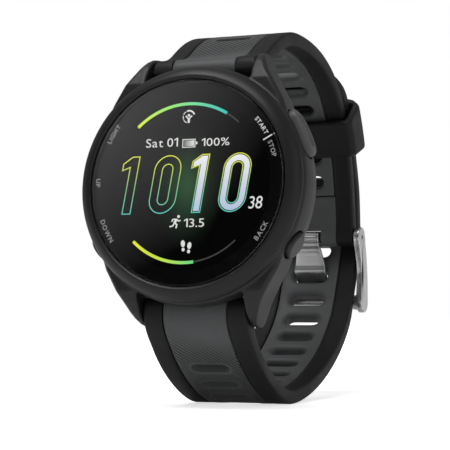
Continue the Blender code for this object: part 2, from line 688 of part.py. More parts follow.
# lower strap, from the root round the bottom bar to the tip outside the keeper
TIP_ROUND = ((0.0, 0.35), (0.7, 0.55), (2.2, 0.78), (4.5, 0.93), (7.5, 1.0))
low_stations, low_width, low_half = [], [], []
for ahead, share in TIP_ROUND:
    low_stations.append(tip_s + ahead)
    low_width.append((half_strap - 0.25) * share)
    low_half.append(thin * (0.7 if ahead == 0 else 1.0))
for s in spaced(tip_s + TIP_ROUND[-1][0] + 2.0, LOOP_LENGTH, STATION):
    low_stations.append(s)
    low_width.append(half_strap - 0.25 * (1 - ease((s - far_s) / ROOT_BLEND)))
    low_half.append(root_half(LOOP_LENGTH - s))
for r in ROUND[-2::-1]:
    low_stations.append(LOOP_LENGTH + ROOT_RADIUS * r)
    low_width.append(half_strap)
    low_half.append(root_half(-ROOT_RADIUS * r))
lower = skin("strap_lower", [section(free, s, w, h, STRAP_CORNER) for s, w, h in
                             zip(low_stations, low_width, low_half)])


def swept_box(name, place, stations, half_width, half_thick):
    """Box swept along the strap; half_thick is a size or one size for each station."""
    if not isinstance(half_thick, list):
        half_thick = [half_thick] * len(stations)
    loops = []
    for s, h in zip(stations, half_thick):
        loops.append([Vector((x, *place(s, w)[0])) for x, w in
                      ((half_width, h), (-half_width, h), (-half_width, -h), (half_width, -h))])
    return skin(name, loops)


def slot_cutter(place, s):
    """Pill across the strap, through its whole thickness."""
    middle, along, normal = place(s)
    radius = SLOT_WIDTH / 2
    straight = SLOT_LENGTH / 2 - radius
    outline = []
    for end in (1, -1):
        for k in range(7):
            a = math.pi * (k / 6 - 0.5)
            x = end * (straight + radius * math.cos(a))
            y, z = middle + along * (end * radius * math.sin(a)) - normal * 2 * thin
            outline.append(Vector((x, y, z)))
    return prism("slot", outline, Vector((0, *(normal * 4 * thin))))


def core_of(strap, name, place, core_stations, halves, slots):
    """Parts the strap into its black edges and its grey core, and cuts the slots."""
    window = swept_box("window", place, core_stations, CORE_HALF + CORE_GAP,
                       [h + 0.5 for h in halves])
    shell = cut(strap, window)
    first, last = core_stations[0], core_stations[-1]
    own = [s for s in core_stations]
    if abs(last - first) > 1:
        own[-1] = last + math.copysign(CORE_GAP, first - last)
    core = swept_box(name, place, own, CORE_HALF, halves)
    return shell, cut(core, *[slot_cutter(place, s) for s in slots])


slot_s = pin_s + TONGUE_SLOT
low_slots = [slot_s + SLOT_PITCH * k for k in range(-20, 40)
             if tip_s + CORE_END + SLOT_WIDTH < slot_s + SLOT_PITCH * k
             < LOOP_LENGTH - FIRST_SLOT + 3.0]
up_last = pin_s - CORE_END - 3.2
up_slots = []
while up_last - SLOT_PITCH * len(up_slots) > FIRST_SLOT:
    up_slots.append(up_last - SLOT_PITCH * len(up_slots))

core_stations = [-ROOT_RADIUS * r for r in ROUND[:-1]] + spaced(0, pin_s - CORE_END, STATION)
halves = [root_half(s) for s in core_stations]
upper, upper_core = core_of(upper, "strap_upper_core", fixed, core_stations, halves, up_slots)
core_stations = [LOOP_LENGTH + ROOT_RADIUS * r for r in ROUND[:-1]]
core_stations += spaced(LOOP_LENGTH, tip_s + CORE_END, STATION)
halves = [root_half(LOOP_LENGTH - s) for s in core_stations]
lower, lower_core = core_of(lower, "strap_lower_core", free, core_stations, halves, low_slots)

across = Vector((half_strap + 1, 0, 0))
hole_r = BAR_RADIUS + BAR_CLEARANCE
top_axis, low_axis = Vector((0, *bar_top)), Vector((0, *bar_low))
upper = cut(upper, rod("hole", top_axis - across, top_axis + across, hole_r, 16))
upper_core = cut(upper_core, rod("hole", top_axis - across, top_axis + across, hole_r, 16))
lower = cut(lower, rod("hole", low_axis - across, low_axis + across, hole_r, 16))
lower_core = cut(lower_core, rod("hole", low_axis - across, low_axis + across, hole_r, 16))

pin_point, pin_along, pin_normal = on_loop(pin_s)
pin_axis = Vector((0, *pin_point))
notch_stations = spaced(pin_s - TONGUE_TUBE - 0.8, pin_s + PIN_END_RADIUS + 2, 1.5)
upper = cut(upper, rod("hole", pin_axis - across, pin_axis + across,
                       PIN_RADIUS + PIN_CLEARANCE, 16),
            swept_box("notch", fixed, notch_stations, NOTCH_HALF, 4.0))
finish(upper, BLACK, 0.6, pivot=top_axis)
finish(upper_core, GREY, 0.65, pivot=top_axis)
finish(lower, BLACK, 0.6, pivot=low_axis)
finish(lower_core, GREY, 0.65, pivot=low_axis)

# ---------------------------------------------------------------- keeper
hold_in = -thin - KEEPER_CLEARANCE
hold_out = keeper_lift + thin + KEEPER_CLEARANCE
hold_half = half_strap + KEEPER_CLEARANCE


def keeper_loop(s, wall, outer):
    """Section of the keeper; the outer loop bulges over the free strap."""
    side = hold_half + wall
    low, high = hold_in - wall, hold_out + wall * (1.2 if outer else 1)
    soft = 1.6 if outer else 0.5
    middle = (low + high) / 2
    pairs = ((side - soft, high), (-side + soft, high), (-side, high - soft * 1.2),
             (-side, middle), (-side, low + soft), (-side + soft, low),
             (side - soft, low), (side, low + soft), (side, middle), (side, high - soft * 1.2))
    return [Vector((x, *fixed(s, w)[0])) for x, w in pairs]


rows = []
start, stop = keeper_s - KEEPER_WIDTH / 2, keeper_s + KEEPER_WIDTH / 2
for s in spaced(start + 0.5, stop - 0.5, 1.6):
    rows.append(keeper_loop(s, KEEPER_WALL, True))
rows.append(keeper_loop(stop, KEEPER_WALL - 0.5, True))
rows += [keeper_loop(s, 0.0, False) for s in spaced(stop, start, 1.6)]
rows.append(keeper_loop(start, KEEPER_WALL - 0.5, True))
keeper = skin("keeper", rows, ring=True)
finish(keeper, BLACK, 0.6, pivot=Vector((0, *on_loop(keeper_s)[0])))

# ---------------------------------------------------------------- buckle
far_point = free(far_s, thin + FAR_BAR_GAP + FAR_BAR_RADIUS)[0]
frame_run = far_point - pin_point
frame_along = frame_run / np.linalg.norm(frame_run)
frame_side = np.array((-frame_along[1], frame_along[0]))
arm_in = half_strap + FRAME_SIDE_GAP


def arm(x, wall):
    radius = FRAME_DEPTH / 2
    outline = []
    for centre, turn in ((far_point, -0.5), (pin_point, 0.5)):
        for k in range(9):
            a = math.pi * (turn + k / 8)
            y, z = centre + radius * (frame_along * math.cos(a) + frame_side * math.sin(a))
            outline.append(Vector((x, y, z)))
    return prism("arm", outline, (wall, 0, 0))


far_axis = Vector((0, *far_point))
side = Vector((arm_in + FRAME_WALL / 2, 0, 0))
frame = rod("buckle_frame", far_axis - side, far_axis + side, FAR_BAR_RADIUS, 20)
frame = unite(frame, arm(arm_in, FRAME_WALL), arm(-arm_in, -FRAME_WALL))
end = Vector((arm_in + FRAME_WALL + 1, 0, 0))
frame = cut(frame, rod("hole", pin_axis - end, pin_axis + end, PIN_RADIUS + PIN_CLEARANCE, 16))
finish(frame, STEEL, 0.3, metallic=1.0, pivot=pin_axis)

end = Vector((arm_in + FRAME_WALL - 0.15, 0, 0))
pin = rod("buckle_pin", pin_axis - end, pin_axis + end, PIN_RADIUS, 16)
finish(pin, STEEL, 0.3, metallic=1.0)

# tongue: from the tube inside the free strap, through its slot, onto the far bar
above = thin + TONGUE_GAP + TONGUE_THICKNESS / 2
run = [pin_point - pin_normal * (TONGUE_TUBE - TONGUE_THICKNESS / 2),
       free(slot_s - TONGUE_STEP - 3.2, -above)[0], free(slot_s - TONGUE_STEP, -above)[0],
       free(slot_s + TONGUE_STEP, above)[0]]
rest = far_point + frame_side * (FAR_BAR_RADIUS + TONGUE_GAP + TONGUE_THICKNESS / 2)
run += [rest, rest + frame_along * FAR_BAR_RADIUS * 0.8]
widths = (1.0, 1.0, 1.0, 0.9, 0.72, 0.6)
loops = []
for k, (point, share) in enumerate(zip(run, widths)):
    before, after = run[max(k - 1, 0)], run[min(k + 1, len(run) - 1)]
    first = (point - before) / max(np.linalg.norm(point - before), 1e-9) if k else None
    second = (after - point) / max(np.linalg.norm(after - point), 1e-9)
    second = second if k < len(run) - 1 else first
    first = second if first is None else first
    mean = (first + second) / np.linalg.norm(first + second)
    out = np.array((-mean[1], mean[0])) * TONGUE_THICKNESS / 2
    out = out / max(0.6, float(np.dot(mean, second)))
    half = TONGUE_WIDTH / 2 * share
    loops.append([Vector((x, *(point + w * out))) for x, w in
                  ((half, 1), (-half, 1), (-half, -1), (half, -1))])
tongue = skin("buckle_tongue", loops)
half = Vector((TONGUE_WIDTH / 2, 0, 0))
tongue = unite(tongue, rod("tube", pin_axis - half, pin_axis + half, TONGUE_TUBE, 24))
tongue = cut(tongue, rod("hole", pin_axis - half * 2, pin_axis + half * 2,
                         PIN_RADIUS + PIN_CLEARANCE, 16))
finish(tongue, STEEL, 0.32, metallic=1.0, pivot=pin_axis)

# ---------------------------------------------------------------- stand it on the ground
parts = list(bpy.data.objects)
points = np.array([part.location + vertex.co for part in parts for vertex in part.data.vertices])
low, high = points.min(0), points.max(0)
for part in parts:
    part.location -= Vector(((low[0] + high[0]) / 2, (low[1] + high[1]) / 2, low[2]))
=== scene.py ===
import math

import bmesh
import bpy
import numpy as np
from mathutils import Matrix, Vector


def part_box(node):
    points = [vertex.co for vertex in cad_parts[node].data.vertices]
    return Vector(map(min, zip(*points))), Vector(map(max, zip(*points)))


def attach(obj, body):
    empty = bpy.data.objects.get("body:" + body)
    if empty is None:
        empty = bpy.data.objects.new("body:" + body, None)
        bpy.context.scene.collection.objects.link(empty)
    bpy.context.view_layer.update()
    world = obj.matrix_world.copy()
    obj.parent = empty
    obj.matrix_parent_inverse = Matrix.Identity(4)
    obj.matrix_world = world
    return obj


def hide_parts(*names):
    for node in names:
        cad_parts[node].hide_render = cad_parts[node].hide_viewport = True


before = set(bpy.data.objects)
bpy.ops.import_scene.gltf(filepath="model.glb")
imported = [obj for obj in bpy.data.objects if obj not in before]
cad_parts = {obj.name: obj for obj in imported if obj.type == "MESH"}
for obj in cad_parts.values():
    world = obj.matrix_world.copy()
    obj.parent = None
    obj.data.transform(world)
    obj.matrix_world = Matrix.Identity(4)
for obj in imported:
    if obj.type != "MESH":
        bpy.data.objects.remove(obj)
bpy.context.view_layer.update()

# ---------------------------------------------------------------- The place it stands in
# A white sweep under soft light, as in a small product studio. The floor is painted board
# lit to near white, so that it only takes the thin contact shadow under the strap.
MM = 0.001


def linear(hex_colour):
    """sRGB hex to the linear colour that a shader wants."""
    parts = [int(hex_colour[k:k + 2], 16) / 255 for k in (1, 3, 5)]
    return (*[c / 12.92 if c <= 0.04045 else ((c + 0.055) / 1.055) ** 2.4 for c in parts], 1.0)


def add(tree, kind, settings=None, links=None):
    """A node with its settings; a link is given as input: (node, output). The setting
    "stops" is a colour band's row of (place, sRGB hex)."""
    made = tree.nodes.new(kind)
    for key, value in (settings or {}).items():
        if key == "stops":
            band_stops = made.color_ramp.elements
            while len(band_stops) < len(value):
                band_stops.new(0.5)
            for element, (place, colour) in zip(band_stops, value):
                element.position, element.color = place, linear(colour)
        elif isinstance(key, int) or key in made.inputs:
            made.inputs[key].default_value = value
        else:
            setattr(made, key, value)
    for key, (source, output) in (links or {}).items():
        tree.links.new(source.outputs[output], made.inputs[key])
    return made


def finish_of(name, colour, roughness, **more):
    """A Principled material, with its tree and shader for what is added to it."""
    made = bpy.data.materials.new(name)
    made.use_nodes = True
    shader = next(n for n in made.node_tree.nodes if n.type == "BSDF_PRINCIPLED")
    shader.inputs["Base Color"].default_value = linear(colour)
    shader.inputs["Roughness"].default_value = roughness
    for key, value in more.items():
        shader.inputs[key.replace("_", " ")].default_value = value
    return made, made.node_tree, shader


def piece(name, verts, faces, material, body=None, nodes=(), sharp=38.0, weld=0.0, slot=None):
    """A mesh piece from points in metres, closed side out, riding on a CAD body."""
    mesh = bpy.data.meshes.new(name)
    mesh.from_pydata([tuple(p) for p in verts], [], faces)
    work = bmesh.new()
    work.from_mesh(mesh)
    if weld:
        bmesh.ops.remove_doubles(work, verts=work.verts, dist=weld)
    bmesh.ops.recalc_face_normals(work, faces=work.faces)
    for edge in work.edges:
        edge.smooth = len(edge.link_faces) < 2 or edge.calc_face_angle(0) < math.radians(sharp)
    for polygon in work.faces:
        polygon.smooth = True
    work.to_mesh(mesh)
    work.free()
    made = bpy.data.objects.new(name, mesh)
    bpy.context.scene.collection.objects.link(made)
    mesh.materials.append(material)
    if body:
        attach(made, body)
    if nodes:
        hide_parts(*nodes)
    return made


# Painted board: even, with a very faint mottle. Some of its white is its own glow, which
# stands for the light of the sweep that the lamps alone would need more power for.
board, tree, shader = finish_of("painted_board_matt", "#f6f6f6", 0.9)
mottle = add(tree, "ShaderNodeTexNoise", {"Scale": 60.0, "Detail": 3.0})
board_tone = add(tree, "ShaderNodeValToRGB",
                 {"stops": ((0.35, "#f3f3f3"), (0.65, "#f8f8f8"))}, {"Fac": (mottle, 0)})
tree.links.new(board_tone.outputs[0], shader.inputs["Base Color"])
shader.inputs["Emission Color"].default_value = linear("#ffffff")
coords = add(tree, "ShaderNodeTexCoord")
away = add(tree, "ShaderNodeVectorMath", {"operation": "LENGTH"}, {0: (coords, "Object")})
# the glow is weaker near the watch: painted shade round its foot, which deepens the contact
# shadow
own_light = add(tree, "ShaderNodeMapRange", {"From Min": 0.08, "From Max": 0.35,
                                             "To Min": 0.66, "To Max": 1.0},
                {"Value": (away, "Value")})
# it glows white to the lens, and far less onto the watch, whose underside stays dark
ray = add(tree, "ShaderNodeLightPath")
seen = add(tree, "ShaderNodeMapRange", {"To Min": 0.12, "To Max": 1.0},
           {"Value": (ray, "Is Camera Ray")})
board_glow = add(tree, "ShaderNodeMath", {"operation": "MULTIPLY"},
                 {0: (own_light, 0), 1: (seen, 0)})
tree.links.new(board_glow.outputs[0], shader.inputs["Emission Strength"])
FLOOR_HALF = 3.0
floor = piece("floor", [(x * FLOOR_HALF, y * FLOOR_HALF, 0) for x, y in
                        ((-1, -1), (1, -1), (1, 1), (-1, 1))], [(0, 1, 2, 3)], board)
if floor.data.polygons[0].normal.z < 0:
    floor.data.flip_normals()

# The sweep behind is white; the light that it and the dim room give the watch is softer.
world = bpy.data.worlds.new("studio")
bpy.context.scene.world = world
world.use_nodes = True
tree = world.node_tree
room = next(n for n in tree.nodes if n.type == "BACKGROUND")
room.inputs["Color"].default_value = (1, 1, 1, 1)
sky = add(tree, "ShaderNodeTexCoord")


def card(way, size, strength):
    """Light from a soft round card that stands in a direction from the watch."""
    apart = add(tree, "ShaderNodeVectorMath",
                {"operation": "DISTANCE", 1: tuple(Vector(way).normalized())},
                {0: (sky, "Generated")})
    return add(tree, "ShaderNodeMapRange", {"From Min": 0.0, "From Max": size,
                                            "To Min": strength, "To Max": 0.0},
               {"Value": (apart, "Value")})


# a soft white card on the left in a dark corner, a wide one behind on the right, and a room
# that falls off below
corner = card((-0.46, -0.84, 0.30), 0.7, 1.0)
dim = add(tree, "ShaderNodeMapRange", {"From Min": 0.3, "From Max": 0.75, "To Min": 0.30,
                                       "To Max": 0.02}, {"Value": (corner, 0)})
height = add(tree, "ShaderNodeSeparateXYZ", {}, {"Vector": (sky, "Generated")})
below = add(tree, "ShaderNodeMapRange", {"From Min": -0.35, "From Max": 0.25, "To Min": 0.35,
                                         "To Max": 1.0}, {"Value": (height, "Z")})
walls = add(tree, "ShaderNodeMath", {"operation": "MULTIPLY"}, {0: (dim, 0), 1: (below, 0)})
cards = add(tree, "ShaderNodeMath", {"operation": "ADD"},
            {0: (card((-0.49, -0.82, 0.335), 0.165, 1.35), 0),
             1: (card((0.38, 0.92, 0.05), 0.45, 0.8), 0)})
all_round = add(tree, "ShaderNodeMath", {"operation": "ADD"}, {0: (walls, 0), 1: (cards, 0)})
tree.links.new(all_round.outputs[0], room.inputs["Strength"])
sweep = add(tree, "ShaderNodeBackground", {"Color": (1, 1, 1, 1), "Strength": 1.0})
ray = add(tree, "ShaderNodeLightPath")
both = add(tree, "ShaderNodeMixShader", {}, {0: (ray, "Is Camera Ray"), 1: (room, 0),
                                             2: (sweep, 0)})
output = next(n for n in tree.nodes if n.type == "OUTPUT_WORLD")
tree.links.new(both.outputs[0], output.inputs["Surface"])
bpy.context.scene.view_settings.view_transform = "Standard"


def softbox(name, place, aim, size, power):
    """A rectangular area lamp at a place in metres, aimed at a point."""
    lamp = bpy.data.lights.new(name, "AREA")
    lamp.shape = "RECTANGLE"
    lamp.size, lamp.size_y = size
    lamp.energy = power
    holder = bpy.data.objects.new(name, lamp)
    holder.location = place
    holder.rotation_mode = "QUATERNION"
    holder.rotation_quaternion = (Vector(aim) - Vector(place)).to_track_quat("-Z", "Y")
    bpy.context.scene.collection.objects.link(holder)
    return holder


softbox("lamp_over", (-0.10, -0.30, 0.80), (0, 0, 0.03), (0.60, 0.40), 5.2)
softbox("lamp_right", (0.70, -0.10, 0.25), (0.01, 0, 0.04), (0.30, 0.50), 0.5)

# The camera stands low and to the right of the face, with a long lens.
FACE_TILT = math.radians(5.42)
GLASS_THICK = 1.3
low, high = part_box("front_glass")
deep = Vector((0, math.cos(FACE_TILT), -math.sin(FACE_TILT)))
centre = (low + high) / 2 - deep * GLASS_THICK / 2 * MM
lens = bpy.data.cameras.new("camera")
lens.lens, lens.sensor_width = 128.0, 36.0
lens.clip_start, lens.clip_end = 0.01, 20
camera = bpy.data.objects.new("camera", lens)
turn, lean = math.radians(22.28), math.radians(-3.10)
backward = Vector((math.sin(turn) * math.cos(lean), -math.cos(turn) * math.cos(lean),
                   math.sin(lean)))
sideways = Vector((math.cos(turn), math.sin(turn), 0))
upward = backward.cross(sideways)
STAND_AT = (114.3, -260.2, -23.1)           # mm from the glass: right, back and up
stand = centre + MM * Vector(STAND_AT)
camera.matrix_world = Matrix([[sideways[k], upward[k], backward[k], stand[k]]
                              for k in range(3)] + [[0, 0, 0, 1]])
bpy.context.scene.collection.objects.link(camera)
bpy.context.scene.camera = camera

# ---------------------------------------------------------------- Bezel
# A ring moulded in fibre-reinforced polyamide, pressed onto the case round the glass. The
# mould is spark-eroded, so the ring has a fine even grain and a soft dark sheen.
OPENING_R, RIM_R = 18.85, 21.5


def moulded(name, colour, roughness, grain, depth, spread=0.10, **more):
    """Matt moulded polymer: eroded grain in the bump, faint rubbing in the roughness."""
    made, tree, shader = finish_of(name, colour, roughness, **more)
    coords = add(tree, "ShaderNodeTexCoord")
    pits = add(tree, "ShaderNodeTexNoise", {"Scale": 1 / (grain * MM), "Detail": 2.0},
               {"Vector": (coords, "Object")})
    bump = add(tree, "ShaderNodeBump", {"Strength": 0.35, "Distance": depth * MM},
               {"Height": (pits, "Fac")})
    tree.links.new(bump.outputs[0], shader.inputs["Normal"])
    rub = add(tree, "ShaderNodeTexNoise", {"Scale": 90.0, "Detail": 4.0},
              {"Vector": (coords, "Object")})
    rough = add(tree, "ShaderNodeMapRange",
                {"From Min": 0.3, "From Max": 0.7, "To Min": roughness - spread / 2,
                 "To Max": roughness + spread / 2}, {"Value": (rub, "Fac")})
    tree.links.new(rough.outputs[0], shader.inputs["Roughness"])
    return made, tree, shader


# Black polyamide, spark-eroded: grain of about 0.1 mm, drawn at 0.3 mm so that it shows.
polyamide = moulded("polyamide_spark_eroded", "#101011", 0.45, 0.3, 0.02,
                    Specular_IOR_Level=0.3)[0]


def face(x, v, d):
    """Point in metres, given in mm in the frame of the face: right, up and inward."""
    return centre + MM * Vector((x, math.cos(FACE_TILT) * d + math.sin(FACE_TILT) * v,
                                 math.cos(FACE_TILT) * v - math.sin(FACE_TILT) * d))


def curved(points, steps):
    """Catmull-Rom curve through a row of points."""
    pts = [np.array(p, float) for p in points]
    pts = [2 * pts[0] - pts[1]] + pts + [2 * pts[-1] - pts[-2]]
    out = []
    for k in range(1, len(pts) - 2):
        p0, p1, p2, p3 = pts[k - 1:k + 3]
        for t in np.arange(steps) / steps:
            out.append(0.5 * (2 * p1 + (p2 - p0) * t + (2 * p0 - 5 * p1 + 4 * p2 - p3) * t * t
                              + (3 * p1 - p0 - 3 * p2 + p3) * t ** 3))
    out.append(pts[-2])
    return out


def skin(rows, count, start=0, closed=False):
    """Faces between rows of points that each run round a section; closed joins the last row
    to the first."""
    faces = []
    for j in range(rows if closed else rows - 1):
        a, b = start + j * count, start + (j + 1) % rows * count
        faces += [(a + k, a + (k + 1) % count, b + (k + 1) % count, b + k)
                  for k in range(count)]
    return faces


def end_faces(rows, count, start=0):
    """The first row and the last, each as one face."""
    last = start + (rows - 1) * count
    return [tuple(range(start, start + count)), tuple(range(last, last + count))]


def turned(profile, segments, middle=(0.0, 0.0), lobes=None):
    """Solid of revolution about the face's inward axis: (depth, radius) pairs in mm, closed
    as a ring, or by end discs where lobes is given, which waves the radius by angle."""
    verts = []
    for j, (d, r) in enumerate(profile):
        for k in range(segments):
            a = 2 * math.pi * k / segments
            reach = r + (lobes[j] * math.cos(6 * a) if lobes else 0)
            verts.append(face(middle[0] + reach * math.cos(a),
                              middle[1] + reach * math.sin(a), d))
    faces = skin(len(profile), segments, closed=not lobes)
    return verts, faces + (end_faces(len(profile), segments) if lobes else [])


BACK_DEPTH, SEAT_DEPTH, SEAT = 2.6, 1.45, 1.1     # the ring's back, and the glass's ledge
outside = curved([(-0.22, 19.28), (-0.24, 19.42), (-0.10, 19.75), (0.28, 20.30),
                  (0.80, 20.82), (1.40, 21.22), (2.00, 21.46), (2.42, RIM_R),
                  (2.58, 21.40)], 5)
ring = [(SEAT_DEPTH, OPENING_R), (0.20, OPENING_R), (0.05, OPENING_R + 0.05),
        (-0.16, OPENING_R + 0.30)] + [tuple(p) for p in outside]
ring += [(BACK_DEPTH, 21.2), (BACK_DEPTH, OPENING_R - SEAT), (SEAT_DEPTH, OPENING_R - SEAT)]
piece("bezel_ring", *turned(ring, 192), polyamide, "case_body", ["bezel"], sharp=50)

# ---------------------------------------------------------------- Case middle and lugs
# One moulding in the same polyamide: the ring with four lugs, the button recesses and the
# bore for the works. Every edge is eased in the mould, so it is skinned as one rounded form.
# Its side is given a slightly lighter base colour than the bezel.
side_polyamide = moulded("polyamide_case_side", "#19191a", 0.47, 0.3, 0.02,
                         Specular_IOR_Level=0.35)[0]


def rounded(name, node, voxel, passes, material, body):
    """The CAD solid skinned afresh, with its edges eased, in place of the CAD node."""
    made = bpy.data.objects.new(name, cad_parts[node].data.copy())
    bpy.context.scene.collection.objects.link(made)
    shell = made.modifiers.new("skin", "REMESH")
    shell.mode, shell.voxel_size = "VOXEL", voxel * MM
    softened = made.modifiers.new("ease", "SMOOTH")
    softened.factor, softened.iterations = 0.5, passes
    settled = made.evaluated_get(bpy.context.evaluated_depsgraph_get())
    mesh = bpy.data.meshes.new_from_object(settled)
    made.modifiers.clear()
    made.data = mesh
    mesh.materials.clear()
    mesh.materials.append(material)
    for polygon in mesh.polygons:
        polygon.use_smooth = True
    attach(made, body)
    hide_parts(node)
    return made


rounded("case_shell", "case_middle", 0.18, 7, side_polyamide, "case_body")

# ---------------------------------------------------------------- Glass
# Chemically toughened glass, ground flat and polished, with a thin anti-glare coat. It is
# clear, and it shows a soft grey reflection towards its upper left.
glass, tree, shader = finish_of("toughened_glass_polished", "#ffffff", 0.0, IOR=1.5,
                                Transmission_Weight=1.0, Specular_IOR_Level=0.45)
coords = add(tree, "ShaderNodeTexCoord")
smear = add(tree, "ShaderNodeTexNoise", {"Scale": 140.0, "Detail": 5.0},
            {"Vector": (coords, "Object")})
rough = add(tree, "ShaderNodeMapRange", {"From Min": 0.45, "From Max": 0.8, "To Min": 0.0,
                                         "To Max": 0.015}, {"Value": (smear, "Fac")})
tree.links.new(rough.outputs[0], shader.inputs["Roughness"])


def dress(material, *nodes):
    """Gives CAD nodes of a good shape their finish."""
    for node in nodes:
        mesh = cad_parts[node].data
        if not mesh.materials:
            mesh.materials.append(material)
        for k in range(len(mesh.materials)):
            mesh.materials[k] = material


dress(glass, "front_glass")

# ---------------------------------------------------------------- Display
# A round AMOLED module glued behind the glass. Its panel is black where it is off, and the
# lit marks are drawn as paper-thin plates of light just in front of it.
MARK_DEPTH = 1.38               # between the glass and the panel
MARK_THICK = 0.02
MARK_MIDDLE = -0.2              # the drawing's axis, a hair left of the glass's
ARC_R, ARC_WIDE, ARC_THIN = 14.4, 0.56, 0.26


def lit(name, colour, strength, axis=None, span=(0, 1), stops=()):
    """Finish of a lit mark; along an axis of the face it can grade in colour."""
    made, tree, shader = finish_of(name, "#050505", 0.4)
    shader.inputs["Emission Color"].default_value = linear(colour)
    shader.inputs["Emission Strength"].default_value = strength
    coords = add(tree, "ShaderNodeTexCoord")
    if axis is None:
        # the diodes are too fine to tell apart: an unevenness of a few per cent is left
        uneven = add(tree, "ShaderNodeTexNoise", {"Scale": 2500.0, "Detail": 1.0},
                     {"Vector": (coords, "Object")})
        shade = add(tree, "ShaderNodeValToRGB", {"stops": ((0.3, colour), (0.7, colour))},
                    {"Fac": (uneven, 0)})
        shade.color_ramp.elements[0].color = [c * 0.94 for c in linear(colour)[:3]] + [1]
    else:
        parts = add(tree, "ShaderNodeSeparateXYZ", {}, {"Vector": (coords, "Object")})
        place = add(tree, "ShaderNodeMapRange", {"From Min": span[0], "From Max": span[1]},
                    {"Value": (parts, axis)})
        shade = add(tree, "ShaderNodeValToRGB", {"stops": stops}, {"Fac": (place, 0)})
    tree.links.new(shade.outputs[0], shader.inputs["Emission Color"])
    return made


def plate(outlines, faces):
    """A flat figure in the face's plane (mm) made into a thin closed plate."""
    verts = [face(x, v, MARK_DEPTH + side * MARK_THICK) for side in (0, 1) for x, v in outlines]
    count = len(outlines)
    edges = {}
    for f in faces:
        for a, b in zip(f, f[1:] + f[:1]):
            edges[(a, b)] = (b, a) not in edges
            if (b, a) in edges:
                edges[(b, a)] = False
    shell = [tuple(f) for f in faces] + [tuple(k + count for k in reversed(f)) for f in faces]
    shell += [(b, a, a + count, b + count) for (a, b), free_edge in edges.items() if free_edge]
    return verts, shell


def gather(figures):
    """Several plates as one set of points and faces."""
    verts, shell = [], []
    for points, faces in figures:
        more, walls = plate(points, faces)
        shell += [tuple(k + len(verts) for k in f) for f in walls]
        verts += more
    return verts, shell


def band(points, width, closed=False, round_ends=False):
    """A stroke of even width along a row of points."""
    pts = [np.array(p, float) for p in points]
    count = len(pts)
    left, right = [], []
    for k, p in enumerate(pts):
        before = pts[(k - 1) % count] if closed or k else None
        after = pts[(k + 1) % count] if closed or k < count - 1 else None
        a = (p - before) / np.linalg.norm(p - before) if before is not None else None
        b = (after - p) / np.linalg.norm(after - p) if after is not None else None
        a, b = (b if a is None else a), (a if b is None else b)
        mean = (a + b) / max(np.linalg.norm(a + b), 1e-6)
        out = np.array((-mean[1], mean[0])) * width / 2 / max(0.45, float(mean @ b))
        left.append(p + out)
        right.append(p - out)
    ends = range(count if closed else count - 1)
    faces = [[k, count + k, count + (k + 1) % count, (k + 1) % count] for k in ends]
    return left + right, faces


def arc(radius, start, stop, steps=40, middle=(MARK_MIDDLE, 0.0)):
    return [(middle[0] + radius * math.cos(math.radians(start + (stop - start) * k / steps)),
             middle[1] + radius * math.sin(math.radians(start + (stop - start) * k / steps)))
            for k in range(steps + 1)]


def disc(x, v, rx, rv, lean=0.0, count=20):
    """An oval plate."""
    turn = math.radians(lean)
    points = []
    for k in range(count):
        a = 2 * math.pi * k / count
        p, q = rx * math.cos(a), rv * math.sin(a)
        points.append((x + p * math.cos(turn) - q * math.sin(turn),
                       v + p * math.sin(turn) + q * math.cos(turn)))
    return points, [list(range(count))]


# Two gauges, each a bright band that ends in a thin grey one.
gauge_top = lit("oled_yellow_to_teal", "#9df06a", 0.95, "X",
                (centre.x - 0.0101, centre.x + 0.0072),
                ((0.0, "#e2f23c"), (0.30, "#a4f065"), (0.62, "#74e69c"), (1.0, "#34c8c0")))
gauge_low = lit("oled_yellow_to_green", "#9df06a", 0.95, "X",
                (centre.x - 0.0101, centre.x + 0.0020),
                ((0.0, "#f0f01e"), (0.5, "#c8f050"), (1.0, "#5ce089")))
unlit = lit("oled_dim_grey", "#3c3c3d", 1.0)
piece("gauge_upper", *gather([band(arc(ARC_R, 133.5, 59), ARC_WIDE)]), gauge_top,
      "case_body")
piece("gauge_lower", *gather([band(arc(ARC_R, 226.5, 278), ARC_WIDE)]), gauge_low,
      "case_body")
piece("gauge_rests", *gather([band(arc(ARC_R, 58.6, 47.5), ARC_THIN),
                              band(arc(ARC_R, 278.6, 313), ARC_THIN)]), unlit, "case_body")

# The hour and the minute stand in sloping figures: the hour as outlines, the minute filled.
DIGIT_LOW, DIGIT_HIGH, SLOPE = -5.5, 5.1, 0.15
STROKE, LINE, NOUGHT_WIDE = 1.62, 0.17, 5.3


def sloped(points, left):
    return [(left + x + (v - DIGIT_LOW) * SLOPE, v) for x, v in points]


def one(left, inset=0.0):
    """Outline of the figure 1, moved in by inset."""
    k = inset
    return sloped([(k, DIGIT_LOW + k), (STROKE + 0.15 - k, DIGIT_LOW + k),
                   (STROKE + 0.15 - k, DIGIT_HIGH - k), (0.25 + k * 0.4, DIGIT_HIGH - k),
                   (-1.45 + k, DIGIT_HIGH - 1.3 - k * 0.3), (-1.45 + k, DIGIT_HIGH - 2.6 + k),
                   (0.0 + k, DIGIT_HIGH - 2.0 + k * 0.6)], left)


def nought(left, inset):
    """Outline of the figure 0, moved in by inset."""
    middle = NOUGHT_WIDE / 2
    radius = middle - inset
    points = []
    for hub_v, turn in ((DIGIT_HIGH - middle, 0.0), (DIGIT_LOW + middle, math.pi)):
        points += [(middle + radius * math.cos(a), hub_v + radius * math.sin(a))
                   for a in np.linspace(turn, turn + math.pi, 22)]
    return sloped(points, left)


